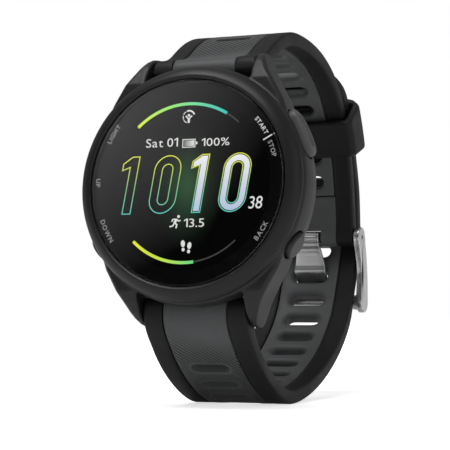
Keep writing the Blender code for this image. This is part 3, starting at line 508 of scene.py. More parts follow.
digit_span = (face(0, DIGIT_LOW, 0).z, face(0, DIGIT_HIGH, 0).z)
rim_light = lit("oled_digit_rim", "#c8f060", 0.95, "Z", digit_span,
                ((0.0, "#5fd6c4"), (0.45, "#86cf86"), (0.8, "#d9e84a"), (1.0, "#eef04a")))
fill_light = lit("oled_digit_white", "#e4e8f4", 0.95, "Z", digit_span,
                 ((0.0, "#b9cbe4"), (0.5, "#dbe0f0"), (1.0, "#f6f8f6")))
HOUR_ONE, HOUR_NOUGHT, MINUTE_ONE, MINUTE_NOUGHT = -12.75, -7.75, 0.95, 5.75
rims = []
for left in (HOUR_ONE, MINUTE_ONE):
    rims.append(band(one(left, LINE / 2), LINE, closed=True))
for left in (HOUR_NOUGHT, MINUTE_NOUGHT):
    rims += [band(nought(left, LINE / 2), LINE, closed=True),
             band(nought(left, STROKE), LINE, closed=True)]
piece("digit_rims", *gather(rims), rim_light, "case_body")
filled = one(MINUTE_ONE, LINE * 1.9)
outer, inner = nought(MINUTE_NOUGHT, LINE * 1.9), nought(MINUTE_NOUGHT, STROKE - LINE * 1.4)
count = len(outer)
ring_faces = [[k, (k + 1) % count, count + (k + 1) % count, count + k] for k in range(count)]
piece("digit_fills", *gather([(filled, [[0, 1, 2, 3, 6], [3, 4, 5, 6]]),
                              (outer + inner, ring_faces)]), fill_light, "case_body")


def glyph(letter, weight=0.0):
    """Outline of a letter as a flat mesh: its points and its faces."""
    if letter == "1":
        return (np.array([(0.20, 0), (0.30, 0), (0.30, 0.70), (0.21, 0.70), (0.03, 0.57),
                          (0.03, 0.47), (0.20, 0.59)]), [[0, 1, 2, 3, 6], [3, 4, 5, 6]])
    data = bpy.data.curves.new("letter", "FONT")
    data.body = letter
    data.resolution_u = 4
    data.offset = weight
    holder = bpy.data.objects.new("letter", data)
    bpy.context.scene.collection.objects.link(holder)
    mesh = bpy.data.meshes.new_from_object(
        holder.evaluated_get(bpy.context.evaluated_depsgraph_get()))
    work = bmesh.new()
    work.from_mesh(mesh)
    bmesh.ops.remove_doubles(work, verts=work.verts, dist=1e-5)
    work.verts.index_update()
    points = np.array([v.co[:2] for v in work.verts])
    faces = [[v.index for v in f.verts] for f in work.faces]
    work.free()
    bpy.data.objects.remove(holder)
    bpy.data.meshes.remove(mesh)
    bpy.data.curves.remove(data)
    return points, faces


def lettered(words, left, low_v, right_x, high_v, slope=0.0):
    """A word fitted to a box on the face."""
    points, faces, cursor = [], [], 0.0
    for letter in words:
        if letter == " ":
            cursor += 0.22
            continue
        own, shells = glyph(letter)
        faces += [[k + len(points) for k in f] for f in shells]
        points += [(x - own[:, 0].min() + cursor, y) for x, y in own]
        cursor += own[:, 0].max() - own[:, 0].min() + 0.09
    points = np.array(points)
    least, most = points.min(0), points.max(0)
    share = (points - least) / (most - least)
    placed = [(left + a * (right_x - left) + b * (high_v - low_v) * slope,
               low_v + b * (high_v - low_v)) for a, b in share]
    return placed, faces


def round_rim(words, radius, middle_angle, height, gap, outward, weight=0.012):
    """A word set letter by letter round the rim; its tops point outward or inward."""
    made, cursor = [], 0.0
    scale = None
    for letter in words:
        points, faces = glyph(letter, weight)
        least, most = points.min(0), points.max(0)
        scale = scale or height / (most[1] - least[1])
        made.append((cursor - least[0] * scale, points * scale, faces))
        cursor += (most[0] - least[0]) * scale + gap
    figures = []
    for start, points, faces in made:
        placed = []
        for x, y in points:
            along = start + x - (cursor - gap) / 2
            turn = -1 if outward else 1
            a = math.radians(middle_angle) + turn * along / radius
            reach = radius + (1 if outward else -1) * (y - height / 2)
            placed.append((reach * math.cos(a), reach * math.sin(a)))
        figures.append((placed, faces))
    return figures


white = lit("oled_white", "#e9eae8", 0.95)
marks = [lettered("Sat 01", -8.4, 6.65, -2.1, 8.25), lettered("100%", 2.55, 6.5, 7.9, 7.95),
         lettered("13.5", -0.3, -8.05, 3.6, -6.5), lettered("38", 11.9, -5.0, 14.4, -2.8, 0.12)]
# battery: outline with its contact, and its charge
marks += [band([(-1.15, 6.45), (1.25, 6.45), (1.25, 7.85), (-1.15, 7.85)], 0.16, closed=True),
          ([(1.42, 6.85), (1.72, 6.95), (1.72, 7.35), (1.42, 7.45)], [[0, 1, 2, 3]])]
# a small sign: a round gauge with a needle, under a sun
SIGN = (-0.15, 12.0)
for a, b in ((250, 212), (204, 168), (158, 122)):
    marks.append(band(arc(1.12, a, b, 8, SIGN), 0.16))
marks.append(band(arc(1.12, 112, 20, 12, SIGN), 0.30))
marks.append(band([(SIGN[0], SIGN[1] - 1.1), (SIGN[0], SIGN[1] - 0.25)], 0.42))
marks.append(band([(SIGN[0] - 0.62, SIGN[1] + 0.20), (SIGN[0] - 0.05, SIGN[1] - 0.42),
                   (SIGN[0] + 0.62, SIGN[1] + 0.20)], 0.24))
marks.append(disc(SIGN[0], SIGN[1] + 0.28, 0.25, 0.25))
# a running figure: head, body, arms and legs
RUN = (-1.95, -7.05)
for stroke, width in ((((0.15, 0.55), (-0.05, 0.05), (-0.22, -0.25)), 0.50),
                      (((0.20, 0.48), (0.62, 0.12), (0.95, 0.28)), 0.22),
                      (((0.00, 0.50), (-0.55, 0.45), (-0.75, 0.05)), 0.22),
                      (((-0.18, -0.20), (0.28, -0.50), (0.12, -1.15)), 0.27),
                      (((-0.22, -0.22), (-0.55, -0.75), (-1.15, -0.85)), 0.25)):
    marks.append(band([(RUN[0] + x, RUN[1] + v) for x, v in stroke], width))
marks.append(disc(RUN[0] + 0.55, RUN[1] + 0.95, 0.27, 0.27))
# a pair of shoe prints
for x, v, lean in ((-0.35, -11.0, 6), (0.92, -11.35, -6)):
    side = 1 if lean > 0 else -1
    marks += [disc(x, v, 0.40, 0.62, lean), disc(x + 0.10 * side, v - 1.05, 0.30, 0.34, lean)]
piece("screen_signs", *gather(marks), white, "case_body")
charge = lit("oled_charge", "#c8cac8", 0.9, "X", (centre.x - 0.0010, centre.x + 0.0011),
             ((0.0, "#5d605d"), (1.0, "#f2f4f2")))
piece("battery_charge", *gather([([(-0.95, 6.65), (1.05, 6.65), (1.05, 7.65), (-0.95, 7.65)],
                                  [[0, 1, 2, 3]])]), charge, "case_body")

# Names of the buttons, printed in ink on the back of the glass beside each of them.
# the ink glows: painted light in place of the lamps' light, which does not reach it through the
# glass
label_glow_white = lit("label_white_painted_glow", "#ececec", 0.85)
label_glow_grey = lit("label_grey_painted_glow", "#a0a0a0", 0.85)
START_AT = 35.2
names = round_rim("START", 17.1, START_AT, 0.80, 0.12, True)
names.append(band([(14.30, 7.20), (15.95, 8.12)], 0.24))
piece("label_start", *gather(names), label_glow_white, "case_body")
names = round_rim("LIGHT", 17.75, 147.8, 0.88, 0.20, True)
names += round_rim("UP", 17.75, 178.5, 0.88, 0.20, False)
names += round_rim("DOWN", 17.75, 208.5, 0.88, 0.20, False)
names += round_rim("BACK", 17.0, 328.3, 0.88, 0.20, False)
names += round_rim("STOP", 17.05, 19.3, 0.84, 0.15, True)
piece("label_others", *gather(names), label_glow_grey, "case_body")

# Black ink, screen-printed on the back of the glass round the picture, matt and dense.
ink_black, tree, shader = finish_of("ink_black_printed", "#040404", 0.6,
                                    Specular_IOR_Level=0.05)
mesh_marks = add(tree, "ShaderNodeTexNoise", {"Scale": 3000.0, "Detail": 2.0})
ink_tone = add(tree, "ShaderNodeValToRGB", {"stops": ((0.4, "#030303"), (0.6, "#060606"))},
               {"Fac": (mesh_marks, 0)})
tree.links.new(ink_tone.outputs[0], shader.inputs["Base Color"])
piece("ink_border", *turned([(1.41, 15.9), (1.41, 18.6), (1.43, 18.6), (1.43, 15.9)], 160),
      ink_black, "case_body", sharp=40)

# The panel: black glass with a deep green glow round the middle of the drawing.
panel, tree, shader = finish_of("amoled_panel_black", "#020202", 0.25,
                                Specular_IOR_Level=0.0)
coords = add(tree, "ShaderNodeTexCoord")
GLOW_AT = face(0.2, -0.6, 1.45)
GLOW_SIZE = (0.0070, 0.02, 0.0115)
offset = add(tree, "ShaderNodeVectorMath",
             {"operation": "SUBTRACT", 1: tuple(GLOW_AT)}, {0: (coords, "Object")})
squeeze = add(tree, "ShaderNodeVectorMath",
              {"operation": "MULTIPLY", 1: tuple(1 / size for size in GLOW_SIZE)},
              {0: (offset, 0)})
from_glow = add(tree, "ShaderNodeVectorMath", {"operation": "LENGTH"}, {0: (squeeze, 0)})
green = add(tree, "ShaderNodeValToRGB",
            {"stops": ((0.0, "#294f31"), (0.30, "#1d3a24"), (0.62, "#0d190f"),
                       (1.0, "#000000"))}, {"Fac": (from_glow, "Value")})
tree.links.new(green.outputs[0], shader.inputs["Emission Color"])
shader.inputs["Emission Strength"].default_value = 1.0
dress(panel, "display_module")

# ---------------------------------------------------------------- Buttons
# Each is a cap moulded in the polyamide on a steel shaft, in a recess of the case. The four
# round ones are plain; the long one at two o'clock has a band of diamond points for grip.
CASE_R, CAP_HIDDEN, BUTTON_D = 21.95, 0.75, 6.0
cap_polymer = moulded("polyamide_button_cap", "#161617", 0.42, 0.3, 0.015,
                      Specular_IOR_Level=0.4)[0]
long_polymer = moulded("polyamide_long_button", "#4a4a4b", 0.45, 0.3, 0.015,
                       Specular_IOR_Level=0.4)[0]
SHAFT_R, SHAFT_END = 0.85, 18.3
GRIP_HALF, GRIP_WIDE, GRIP_EDGE = 3.3, 1.02, 0.16      # the band of points, and its border
POINT_PITCH, POINT_HIGH, POINT_SUNK = 0.9, 0.60, 0.24


def cap(name, angle, long_side, height, proud, node, material, knurled):
    """A button cap as nested stadium rings from its foot to the middle of its dome."""
    turn = math.radians(angle)
    hub = face(0, 0, BUTTON_D)
    out = (face(math.cos(turn), math.sin(turn), 0) - face(0, 0, 0)) / MM
    along = (face(-math.sin(turn), math.cos(turn), 0) - face(0, 0, 0)) / MM
    inward = (face(0, 0, 1) - face(0, 0, 0)) / MM
    straight, radius = (long_side - height) / 2, height / 2
    ends, run = 20, (40 if straight else 0)
    top = CASE_R + proud

    def around(inset):
        """One ring: (along, deep) pairs at an inset from the outline."""
        r = max(radius - inset, 0.0)
        points = []
        for side in (1, -1):
            for k in range(ends):
                a = math.pi * (k / (ends - 1) - 0.5)
                points.append((side * (straight + r * math.cos(a)), side * r * math.sin(a)))
            for k in range(1, run):
                points.append((side * straight * (1 - 2 * k / run), side * r))
        return points

    def dome(u):
        return math.sqrt(max(top ** 2 - u * u * (1.0 if straight else 0.35), 0.0))

    def tooth(u, w):
        """Height of the diamond points: two crossed sets of ridges."""
        if not knurled or abs(w) > GRIP_WIDE or abs(u) > GRIP_HALF:
            return 0.0
        waves = [abs(((u + side * w) / POINT_PITCH) % 1.0 - 0.5) * 2 for side in (1, -1)]
        edge = min(1.0, (GRIP_WIDE - abs(w)) / GRIP_EDGE, (GRIP_HALF - abs(u)) / GRIP_EDGE)
        return (POINT_HIGH * min(waves) - POINT_SUNK) * edge

    foot_r = CASE_R - CAP_HIDDEN
    rings = [[(u, w, foot_r) for u, w in around(0.12)],
             [(u, w, foot_r + 0.12) for u, w in around(0.0)],
             [(u, w, dome(u) - 0.62) for u, w in around(0.0)]]
    for inset, drop in ((0.03, 0.42), (0.12, 0.22), (0.26, 0.09), (0.45, 0.02)):
        rings.append([(u, w, dome(u) - drop) for u, w in around(inset)])
    inset = 0.6
    while inset < radius - 0.02:
        rings.append([(u, w, dome(u) + tooth(u, w)) for u, w in around(inset)])
        inset += 0.1
    rings.append([(u, w, dome(u) + tooth(u, w)) for u, w in around(radius)])
    verts, count = [], len(rings[0])
    for ring in rings:
        verts += [hub + MM * (along * u + inward * w + out * r) for u, w, r in ring]
    faces = skin(len(rings), count)
    # the foot closes onto the shaft, which ends in the case's bore
    foot = len(verts)
    for r in (foot_r, SHAFT_END):
        for k in range(count):
            u, w = rings[0][k][:2]
            size = math.hypot(u, w)
            verts.append(hub + MM * (along * (u / size * SHAFT_R)
                                     + inward * (w / size * SHAFT_R) + out * r))
    for k in range(count):
        n = (k + 1) % count
        faces.append((n, k, foot + k, foot + n))
        faces.append((foot + n, foot + k, foot + count + k, foot + count + n))
    faces.append(tuple(foot + count + k for k in range(count)))
    return piece(name, verts, faces, material, node + "_body", [node], sharp=42, weld=1e-6)


ROUND_CAP, ROUND_PROUD = 5.0, 0.55
LONG_CAP, LONG_HIGH, LONG_PROUD = 9.4, 4.2, 0.95
for label, angle in (("light", 150.0), ("up", 180.0), ("down", 210.0), ("back", -30.0)):
    cap("cap_" + label, angle, ROUND_CAP, ROUND_CAP, ROUND_PROUD, "button_" + label,
        cap_polymer, False)
cap("cap_start", 25.0, LONG_CAP, LONG_HIGH, LONG_PROUD, "button_start", long_polymer, True)

# ---------------------------------------------------------------- Back of the case
# A cover of the same polyamide held by four steel screws, with the optical window for the
# heart-rate sensor domed out of its middle and four gold-plated charging pins in a recess.
cover_polymer = moulded("polyamide_rear_cover", "#1a1a1b", 0.5, 0.3, 0.02,
                        Specular_IOR_Level=0.4)[0]
rounded("cover_shell", "rear_cover", 0.13, 4, cover_polymer, "case_body")

# Turned stainless steel, with the fine rings that the tool leaves.
turned_steel, tree, shader = finish_of("stainless_steel_turned", "#b9babc", 0.3, Metallic=1.0)
coords = add(tree, "ShaderNodeTexCoord")
tool_rings = add(tree, "ShaderNodeTexNoise", {"Scale": 5000.0, "Detail": 2.0},
                 {"Vector": (coords, "Object")})
rough = add(tree, "ShaderNodeMapRange", {"To Min": 0.22, "To Max": 0.38},
            {"Value": (tool_rings, "Fac")})
tree.links.new(rough.outputs[0], shader.inputs["Roughness"])
# (depth, radius) of a screw from its point to its six-lobed socket, and how far each waves
SCREW_CIRCLE, SHANK_R, HEAD_R, SOCKET_WAVE = 19.9, 0.5, 0.95, 0.07
SCREW = [(6.85, 0.02), (6.85, 0.35), (7.05, SHANK_R), (10.55, SHANK_R), (10.55, HEAD_R),
         (10.90, HEAD_R), (10.98, 0.90), (11.00, 0.80), (11.00, 0.46), (10.60, 0.42),
         (10.60, 0.02)]
SOCKET = [0] * 8 + [SOCKET_WAVE, SOCKET_WAVE, 0]
for number in range(4):
    turn = math.radians(45 + 90 * number)
    place = (SCREW_CIRCLE * math.cos(turn), SCREW_CIRCLE * math.sin(turn))
    piece("screw_%d" % (number + 1), *turned(SCREW, 48, place, SOCKET), turned_steel,
          "case_body", ["rear_screw_%d" % (number + 1)], sharp=35)

# Gold plating over brass, bright, with a little wear towards the tip.
gold, tree, shader = finish_of("gold_plated_brass", "#d9b264", 0.2, Metallic=1.0)
wear = add(tree, "ShaderNodeTexNoise", {"Scale": 1500.0, "Detail": 3.0})
rough = add(tree, "ShaderNodeMapRange", {"To Min": 0.14, "To Max": 0.34},
            {"Value": (wear, "Fac")})
tree.links.new(rough.outputs[0], shader.inputs["Roughness"])
WINDOW_R, COVER_FLAT_R, CONTACT_PITCH = 8.2, 17.95, 1.5
CONTACT = [(9.30, 0.02), (9.30, 0.42), (10.64, 0.42), (10.72, 0.40), (10.79, 0.32),
           (10.82, 0.20), (10.83, 0.02)]
for number in range(4):
    place = ((number - 1.5) * CONTACT_PITCH, -(WINDOW_R + COVER_FLAT_R) / 2)
    piece("pin_%d" % (number + 1), *turned(CONTACT, 32, place, [0] * len(CONTACT)), gold,
          "case_body", ["charge_contact_%d" % (number + 1)], sharp=35)

# Smoked acrylic window, polished: nearly black, with the sensor's lenses just showing.
smoked, tree, shader = finish_of("smoked_acrylic_polished", "#060607", 0.06, IOR=1.49,
                                 Coat_Weight=0.4, Coat_Roughness=0.03)
swirl = add(tree, "ShaderNodeTexNoise", {"Scale": 260.0, "Detail": 5.0})
rough = add(tree, "ShaderNodeMapRange", {"From Min": 0.4, "From Max": 0.8, "To Min": 0.04,
                                         "To Max": 0.12}, {"Value": (swirl, "Fac")})
tree.links.new(rough.outputs[0], shader.inputs["Roughness"])
dome_line = curved([(11.15, WINDOW_R), (11.28, 7.85), (11.47, 6.8), (11.62, 5.0), (11.71, 2.8),
                    (11.75, 0.02)], 5)
dome_line = [(10.55, 0.02), (10.55, WINDOW_R)] + [tuple(p) for p in dome_line]
piece("window_dome", *turned(dome_line, 128, (0, 0), [0] * len(dome_line)), smoked,
      "case_body", ["sensor_window"], sharp=35)

# The sensor's lenses: three green diodes among four light cells, flush in the window.
lens_green, tree, shader = finish_of("diode_lens_green", "#123a22", 0.12, Coat_Weight=0.5)
cloud = add(tree, "ShaderNodeTexNoise", {"Scale": 900.0, "Detail": 2.0})
tint = add(tree, "ShaderNodeValToRGB", {"stops": ((0.35, "#0e2e1b"), (0.65, "#1a5030"))},
           {"Fac": (cloud, 0)})
tree.links.new(tint.outputs[0], shader.inputs["Base Color"])
lens_dark, tree, shader = finish_of("light_cell_glass", "#15161c", 0.1, Coat_Weight=0.5)
cloud = add(tree, "ShaderNodeTexNoise", {"Scale": 900.0, "Detail": 2.0})
tint = add(tree, "ShaderNodeValToRGB", {"stops": ((0.35, "#101116"), (0.65, "#1f2029"))},
           {"Fac": (cloud, 0)})
tree.links.new(tint.outputs[0], shader.inputs["Base Color"])


def dome_depth(radius):
    """Depth of the window's surface at a distance from its middle."""
    return float(np.interp(radius, *zip(*sorted((r, d) for d, r in dome_line[2:]))))


LENSES = ((0, 0, 1.25), (0, 3.4, 0.8), (0, -3.4, 0.8), (3.6, 1.7, 1.1), (-3.6, 1.7, 1.1),
          (3.6, -1.7, 1.1), (-3.6, -1.7, 1.1))
for number, (x, v, radius) in enumerate(LENSES, 1):
    base = dome_depth(math.hypot(x, v) - radius * 0.6)
    bead = [(base - 0.5, 0.02), (base - 0.5, radius), (base - 0.04, radius),
            (base + 0.02, radius - 0.08), (base + 0.04, radius - 0.2), (base + 0.05, 0.02)]
    piece("sensor_lens_%d" % number, *turned(bead, 40, (x, v), [0] * 6),
          lens_green if number < 4 else lens_dark, "case_body", sharp=40)

# ---------------------------------------------------------------- Inside the case
# What is stacked in the bore behind the display: sheet-metal chassis, main board, battery,
# motor, buzzer, antenna, sensor board and the rear seal, with a switch for each button.


def speckled(name, dark, light, scale, roughness, low_share=0.4, high_share=0.6, **more):
    """A finish of two tones in a fine noise."""
    made, tree, shader = finish_of(name, dark, roughness, **more)
    coords = add(tree, "ShaderNodeTexCoord")
    grain = add(tree, "ShaderNodeTexNoise", {"Scale": scale, "Detail": 3.0},
                {"Vector": (coords, "Object")})
    tone = add(tree, "ShaderNodeValToRGB", {"stops": ((low_share, dark), (high_share, light))},
               {"Fac": (grain, 0)})
    tree.links.new(tone.outputs[0], shader.inputs["Base Color"])
    bump = add(tree, "ShaderNodeBump", {"Strength": 0.2, "Distance": 0.02 * MM},
               {"Height": (grain, "Fac")})
    tree.links.new(bump.outputs[0], shader.inputs["Normal"])
    return made


# Solder mask over copper tracks: green, with lighter lands.
dress(speckled("solder_mask_green", "#0d3b22", "#1c6a3c", 700.0, 0.4, 0.5, 0.52),
      "main_board", "sensor_board")
# Rolled stainless sheet, dull.
dress(speckled("stainless_sheet_rolled", "#8b8d90", "#a2a4a7", 900.0, 0.4, Metallic=1.0),
      "chassis", "vibration_motor", "spring_bar_top", "spring_bar_bottom")
# Laminated foil pouch of the battery, with soft wrinkles.
dress(speckled("battery_foil_pouch", "#9a9ca0", "#b4b6b9", 300.0, 0.35, Metallic=1.0),
      "battery")
# Brass with a white ceramic disc behind; copper-coloured antenna strip.
dress(speckled("brass_disc_lacquered", "#b08d45", "#c9a659", 600.0, 0.3, Metallic=1.0),
      "buzzer")
dress(speckled("copper_strip_plated", "#b87a55", "#cf9068", 600.0, 0.3, Metallic=1.0),
      "antenna_ring")
# Nitrile rubber seals, matt black with a dusty bloom.
SIDES = ("light", "up", "down", "back", "start")
dress(speckled("nitrile_rubber_moulded", "#151515", "#232323", 1200.0, 0.7), "rear_gasket",
      *["button_seal_" + side for side in SIDES])
# Tactile switches: glass-filled nylon bodies.
dress(speckled("nylon_switch_body", "#4a4a4b", "#5b5b5c", 1200.0, 0.5),
      *["button_switch_" + side for side in SIDES])

# ---------------------------------------------------------------- Strap edges
# Two silicone straps, each moulded in two shots: first the black edges with the end that
# takes the buckle or the tip, then the grey middle. They run in one loop from bar to bar.
STRAP_HALF, THIN_HALF, ROOT_R, ROOT_RUN = 10.1, 1.35, 2.4, 7.0
CORE_HALF, CORE_GAP = 6.2, 0.16


def bar_axis(node):
    low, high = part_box(node)
    middle = ((low + high) / 2 - centre) / MM
    return np.array((middle.y, middle.z))


top_bar, low_bar = bar_axis("spring_bar_top"), bar_axis("spring_bar_bottom")
crest = top_bar + (22.1, 8.55)
rear = top_bar + (57.3, -35.7)
bottom = low_bar + (22.2, -16.5)


def heading(degrees, side=1):
    return np.array((side * math.cos(math.radians(degrees)), math.sin(math.radians(degrees))))


legs = ((top_bar, top_bar + heading(5) * 4.5, crest - (11.5, 0), crest),
        (crest, crest + (27.0, 0), rear + (0, 29.8), rear),
        (rear, rear - (0, 14.8), bottom + (15.0, 0), bottom),
        (bottom, bottom - (7.5, 0), low_bar - heading(102, -1) * 7.0, low_bar))
LEG_STEPS = 80
loop_line = [a * (1 - t) ** 3 + 3 * b * t * (1 - t) ** 2 + 3 * c * t * t * (1 - t) + d * t ** 3
             for a, b, c, d in legs for t in np.arange(LEG_STEPS) / LEG_STEPS]
loop_line = np.array(loop_line + [low_bar])
travelled = np.concatenate([[0], np.cumsum(np.linalg.norm(np.diff(loop_line, axis=0),
                                                          axis=1))])
LOOP = float(travelled[-1])
lean_of = np.gradient(loop_line, travelled, axis=0)


def inner_layer(s, out=0.0):
    """Place on the loop at a length from the top bar: the layer next to the wrist."""
    held = min(max(s, 0.0), LOOP)
    along = np.array([np.interp(held, travelled, lean_of[:, k]) for k in (0, 1)])
    along /= np.linalg.norm(along)
    point = np.array([np.interp(held, travelled, loop_line[:, k]) for k in (0, 1)])
    out_way = np.array((-along[1], along[0]))
    return point + along * (s - held) + out_way * out, along, out_way


def ease(t):
    t = min(max(t, 0.0), 1.0)
    return t * t * (3 - 2 * t)


PIN_AT, TIP_AT, KEEPER_AT, BAR_AT = 82.5, 46.0, 60.1, 95.4
END_R, KEEPER_HALF = 1.9, 4.4
KEEPER_LIFT = 2 * THIN_HALF + 1.05
rises = ((TIP_AT, 2 * THIN_HALF + 0.45), (KEEPER_AT - KEEPER_HALF - 1, KEEPER_LIFT),
         (KEEPER_AT + KEEPER_HALF + 1, KEEPER_LIFT),
         ((KEEPER_AT + PIN_AT + KEEPER_HALF) / 2, 2 * THIN_HALF + 1.6),
         (PIN_AT - 1.0, END_R + THIN_HALF + 0.75), (BAR_AT, 0.0))


def rise(s):
    if s <= TIP_AT:
        return rises[0][1]
    for (a, low_rise), (b, high_rise) in zip(rises, rises[1:]):
        if s <= b:
            return low_rise + (high_rise - low_rise) * ease((s - a) / (b - a))
    return 0.0


def outer_layer(s, out=0.0):
    """Place on the long strap, which leaves the loop at the buckle to lie over the other."""
    near, far = inner_layer(s - 0.4), inner_layer(s + 0.4)
    a, b = near[0] + near[2] * rise(s - 0.4), far[0] + far[2] * rise(s + 0.4)
    along = (b - a) / np.linalg.norm(b - a)
    out_way = np.array((-along[1], along[0]))
    return (a + b) / 2 + out_way * out, along, out_way


def across(x, point):
    """Point in metres from mm: x across the strap, and (back, up) in the loop's plane."""
    return centre + MM * Vector((x, *point))


def at(layer, x, s, out):
    """Point of a strap: x across it, s along the loop, out from the middle of its layer."""
    return across(x, layer(s, out)[0])


def root_half(distance):
    """Half thickness at a distance from the spring bar's axis."""
    if distance <= 0:
        return math.sqrt(max(ROOT_R ** 2 - distance ** 2, 0.04))
    return ROOT_R + (THIN_HALF - ROOT_R) * ease(distance / ROOT_RUN)


def end_half(distance):
    """Half thickness at a distance from the buckle's pin."""
    if distance <= 0:
        return math.sqrt(max(END_R ** 2 - distance ** 2, 0.04))
    return END_R + (THIN_HALF - END_R) * ease(distance / (2 * END_R))


def eased(distance, radius):
    """Drop of a surface near an edge that is rounded to a radius."""
    if distance >= radius:
        return 0.0
    return radius - math.sqrt(max(radius ** 2 - (radius - distance) ** 2, 0.0))


def evenly(a, b, step):
    count = max(1, math.ceil(abs(b - a) / step))
    return [a + (b - a) * k / count for k in range(count + 1)]


def silicone(name, colour, roughness, hatch=None):
    """Moulded silicone: a fine matt grain, faint dust in the colour, and on the grey a set
    of fine raised hatch lines, darkened with painted shade, that fades towards the case."""
    made, tree, shader = finish_of(name, colour, roughness, Specular_IOR_Level=0.22)
    coords = add(tree, "ShaderNodeTexCoord")
    grain = add(tree, "ShaderNodeTexNoise", {"Scale": 1 / (0.25 * MM), "Detail": 2.0},
                {"Vector": (coords, "Object")})
    dust = add(tree, "ShaderNodeTexNoise", {"Scale": 160.0, "Detail": 5.0},
               {"Vector": (coords, "Object")})
    rough = add(tree, "ShaderNodeMapRange",
                {"From Min": 0.3, "From Max": 0.7, "To Min": roughness - 0.06,
                 "To Max": roughness + 0.06}, {"Value": (dust, "Fac")})
    tree.links.new(rough.outputs[0], shader.inputs["Roughness"])
    base = [int(colour[k:k + 2], 16) for k in (1, 3, 5)]
    pale = "#" + "".join("%02x" % min(255, c + 7) for c in base)
    tone = add(tree, "ShaderNodeValToRGB", {"stops": ((0.4, colour), (0.75, pale))},
               {"Fac": (dust, 0)})
    bump = add(tree, "ShaderNodeBump", {"Strength": 0.25, "Distance": 0.02 * MM},
               {"Height": (grain, "Fac")})
    tree.links.new(tone.outputs[0], shader.inputs["Base Color"])
    if hatch:
        # lines at their pitch in mm across a strap whose own (across, along) mm are stored
        flat = add(tree, "ShaderNodeAttribute", {"attribute_name": "strap_mm"})
        spin = add(tree, "ShaderNodeVectorRotate", {"rotation_type": "Z_AXIS",
                                                    "Angle": math.radians(hatch["angle"])},
                   {"Vector": (flat, "Vector")})
        parts = add(tree, "ShaderNodeSeparateXYZ", {}, {"Vector": (spin, 0)})
        turns = add(tree, "ShaderNodeMath", {"operation": "MULTIPLY",
                                             1: 2 * math.pi / hatch["pitch"]},
                    {0: (parts, "Y")})
        wave = add(tree, "ShaderNodeMath", {"operation": "SINE"}, {0: (turns, 0)})
        ridge = add(tree, "ShaderNodeMapRange", {"From Min": 0.1, "From Max": 0.9},
                    {"Value": (wave, 0)})
        # stored third number: how strongly the hatch stands at that point
        whole = add(tree, "ShaderNodeSeparateXYZ", {}, {"Vector": (flat, "Vector")})
        depth = add(tree, "ShaderNodeMath", {"operation": "MULTIPLY"},
                    {0: (ridge, 0), 1: (whole, "Z")})
        lines = add(tree, "ShaderNodeBump", {"Strength": 0.8, "Distance": 0.12 * MM},
                    {"Height": (depth, 0), "Normal": (bump, 0)})
        tree.links.new(lines.outputs[0], shader.inputs["Normal"])
        # the lines are darkened in the colour too: painted shade of the fine ridges
        shade = add(tree, "ShaderNodeMix", {"data_type": "RGBA", 7: linear(hatch["dark"])},
                    {0: (depth, 0), 6: (tone, 0)})
        tree.links.new(shade.outputs[2], shader.inputs["Base Color"])
    else:
        tree.links.new(bump.outputs[0], shader.inputs["Normal"])
    return made


# Black silicone, bead-blasted mould: grain of 0.05 mm, drawn at 0.25 mm.
black_silicone = silicone("silicone_black_matt", "#131314", 0.58)

EDGE_R, SEAM_R, SEAM_ZONE = 0.55, 0.3, 0.3
OFFSETS = (0.0, 0.05, 0.16, 0.32, 0.55)
DRAWN_IN, TIP_SPAN, ROW_PITCH = 8.6, 8.8, 0.9


def slab(name, layer, rows, width, half, gone, seam, material, body, node):
    """A strap's black part: columns across, rows along, with the middle left out where
    gone(x, s) is true; outer edges eased to EDGE_R and those along a seam to SEAM_R."""
    inner = [CORE_HALF + CORE_GAP + k for k in (0.0, 0.06, 0.22)]
    notch = [NOTCH_HALF + k for k in (0.0, 0.1, 0.35)]
    fixed_x = sorted(set(notch + inner + [7.3, 0.0, 1.3, 2.6, 5.2]))
    spots = []
    for s in rows:
        wide = width(s)
        # columns stand where the seams are on the full width, and draw in with the tip
        xs = [min(x, wide - 1.3) if wide > DRAWN_IN else x * (wide - 1.0) / TIP_SPAN
              for x in fixed_x]
        xs += [wide - k for k in OFFSETS[::-1]]
        spots.append([-x for x in xs[:0:-1]] + xs)
    columns = len(spots[0])
    full = np.array([[(x, s) for x in row] for s, row in zip(rows, spots)])

    def solid_cell(i, j):
        if not (0 <= i < len(rows) - 1 and 0 <= j < columns - 1):
            return False
        x, s = full[i:i + 2, j:j + 2].reshape(-1, 2).mean(0)
        return not gone(x, s)

    cells = {(i, j) for i in range(len(rows) - 1) for j in range(columns - 1)
             if solid_cell(i, j)}
    borders = []
    for i in range(len(rows)):
        for j in range(columns):
            near = [(i + a, j + b) in cells for a in (-1, 0) for b in (-1, 0)]
            if any(near) and not all(near):
                x, s = full[i, j]
                borders.append((x, s, SEAM_R if seam(x, s) else EDGE_R))
    borders = np.array(borders)
    index, verts = {}, []
    for i, s in enumerate(rows):
        for j in range(columns):
            if not any((i + a, j + b) in cells for a in (-1, 0) for b in (-1, 0)):
                continue
            x = full[i, j, 0]
            thick = half(s)
            away = np.hypot(borders[:, 0] - x, borders[:, 1] - s)
            drop = 0.0
            for distance, radius in zip(away, borders[:, 2]):
                if distance < radius:
                    drop = max(drop, eased(distance, min(radius, thick * 0.75)))
            level = thick - min(drop, thick * 0.8)
            index[(i, j)] = len(verts)
            verts += [at(layer, x, s, level), at(layer, x, s, -level)]
    faces = []
    for i, j in sorted(cells):
        quad = [index[(i + a, j + b)] for a, b in ((0, 0), (0, 1), (1, 1), (1, 0))]
        faces += [tuple(quad), tuple(k + 1 for k in quad[::-1])]
        for (a, b), (c, d), other in (((0, 0), (0, 1), (-1, 0)), ((0, 1), (1, 1), (0, 1)),
                                      ((1, 1), (1, 0), (1, 0)), ((1, 0), (0, 0), (0, -1))):
            if (i + other[0], j + other[1]) not in cells:
                p, q = index[(i + a, j + b)], index[(i + c, j + d)]
                faces.append((q, p, p + 1, q + 1))
    return piece(name, verts, faces, material, body, [node], sharp=44)


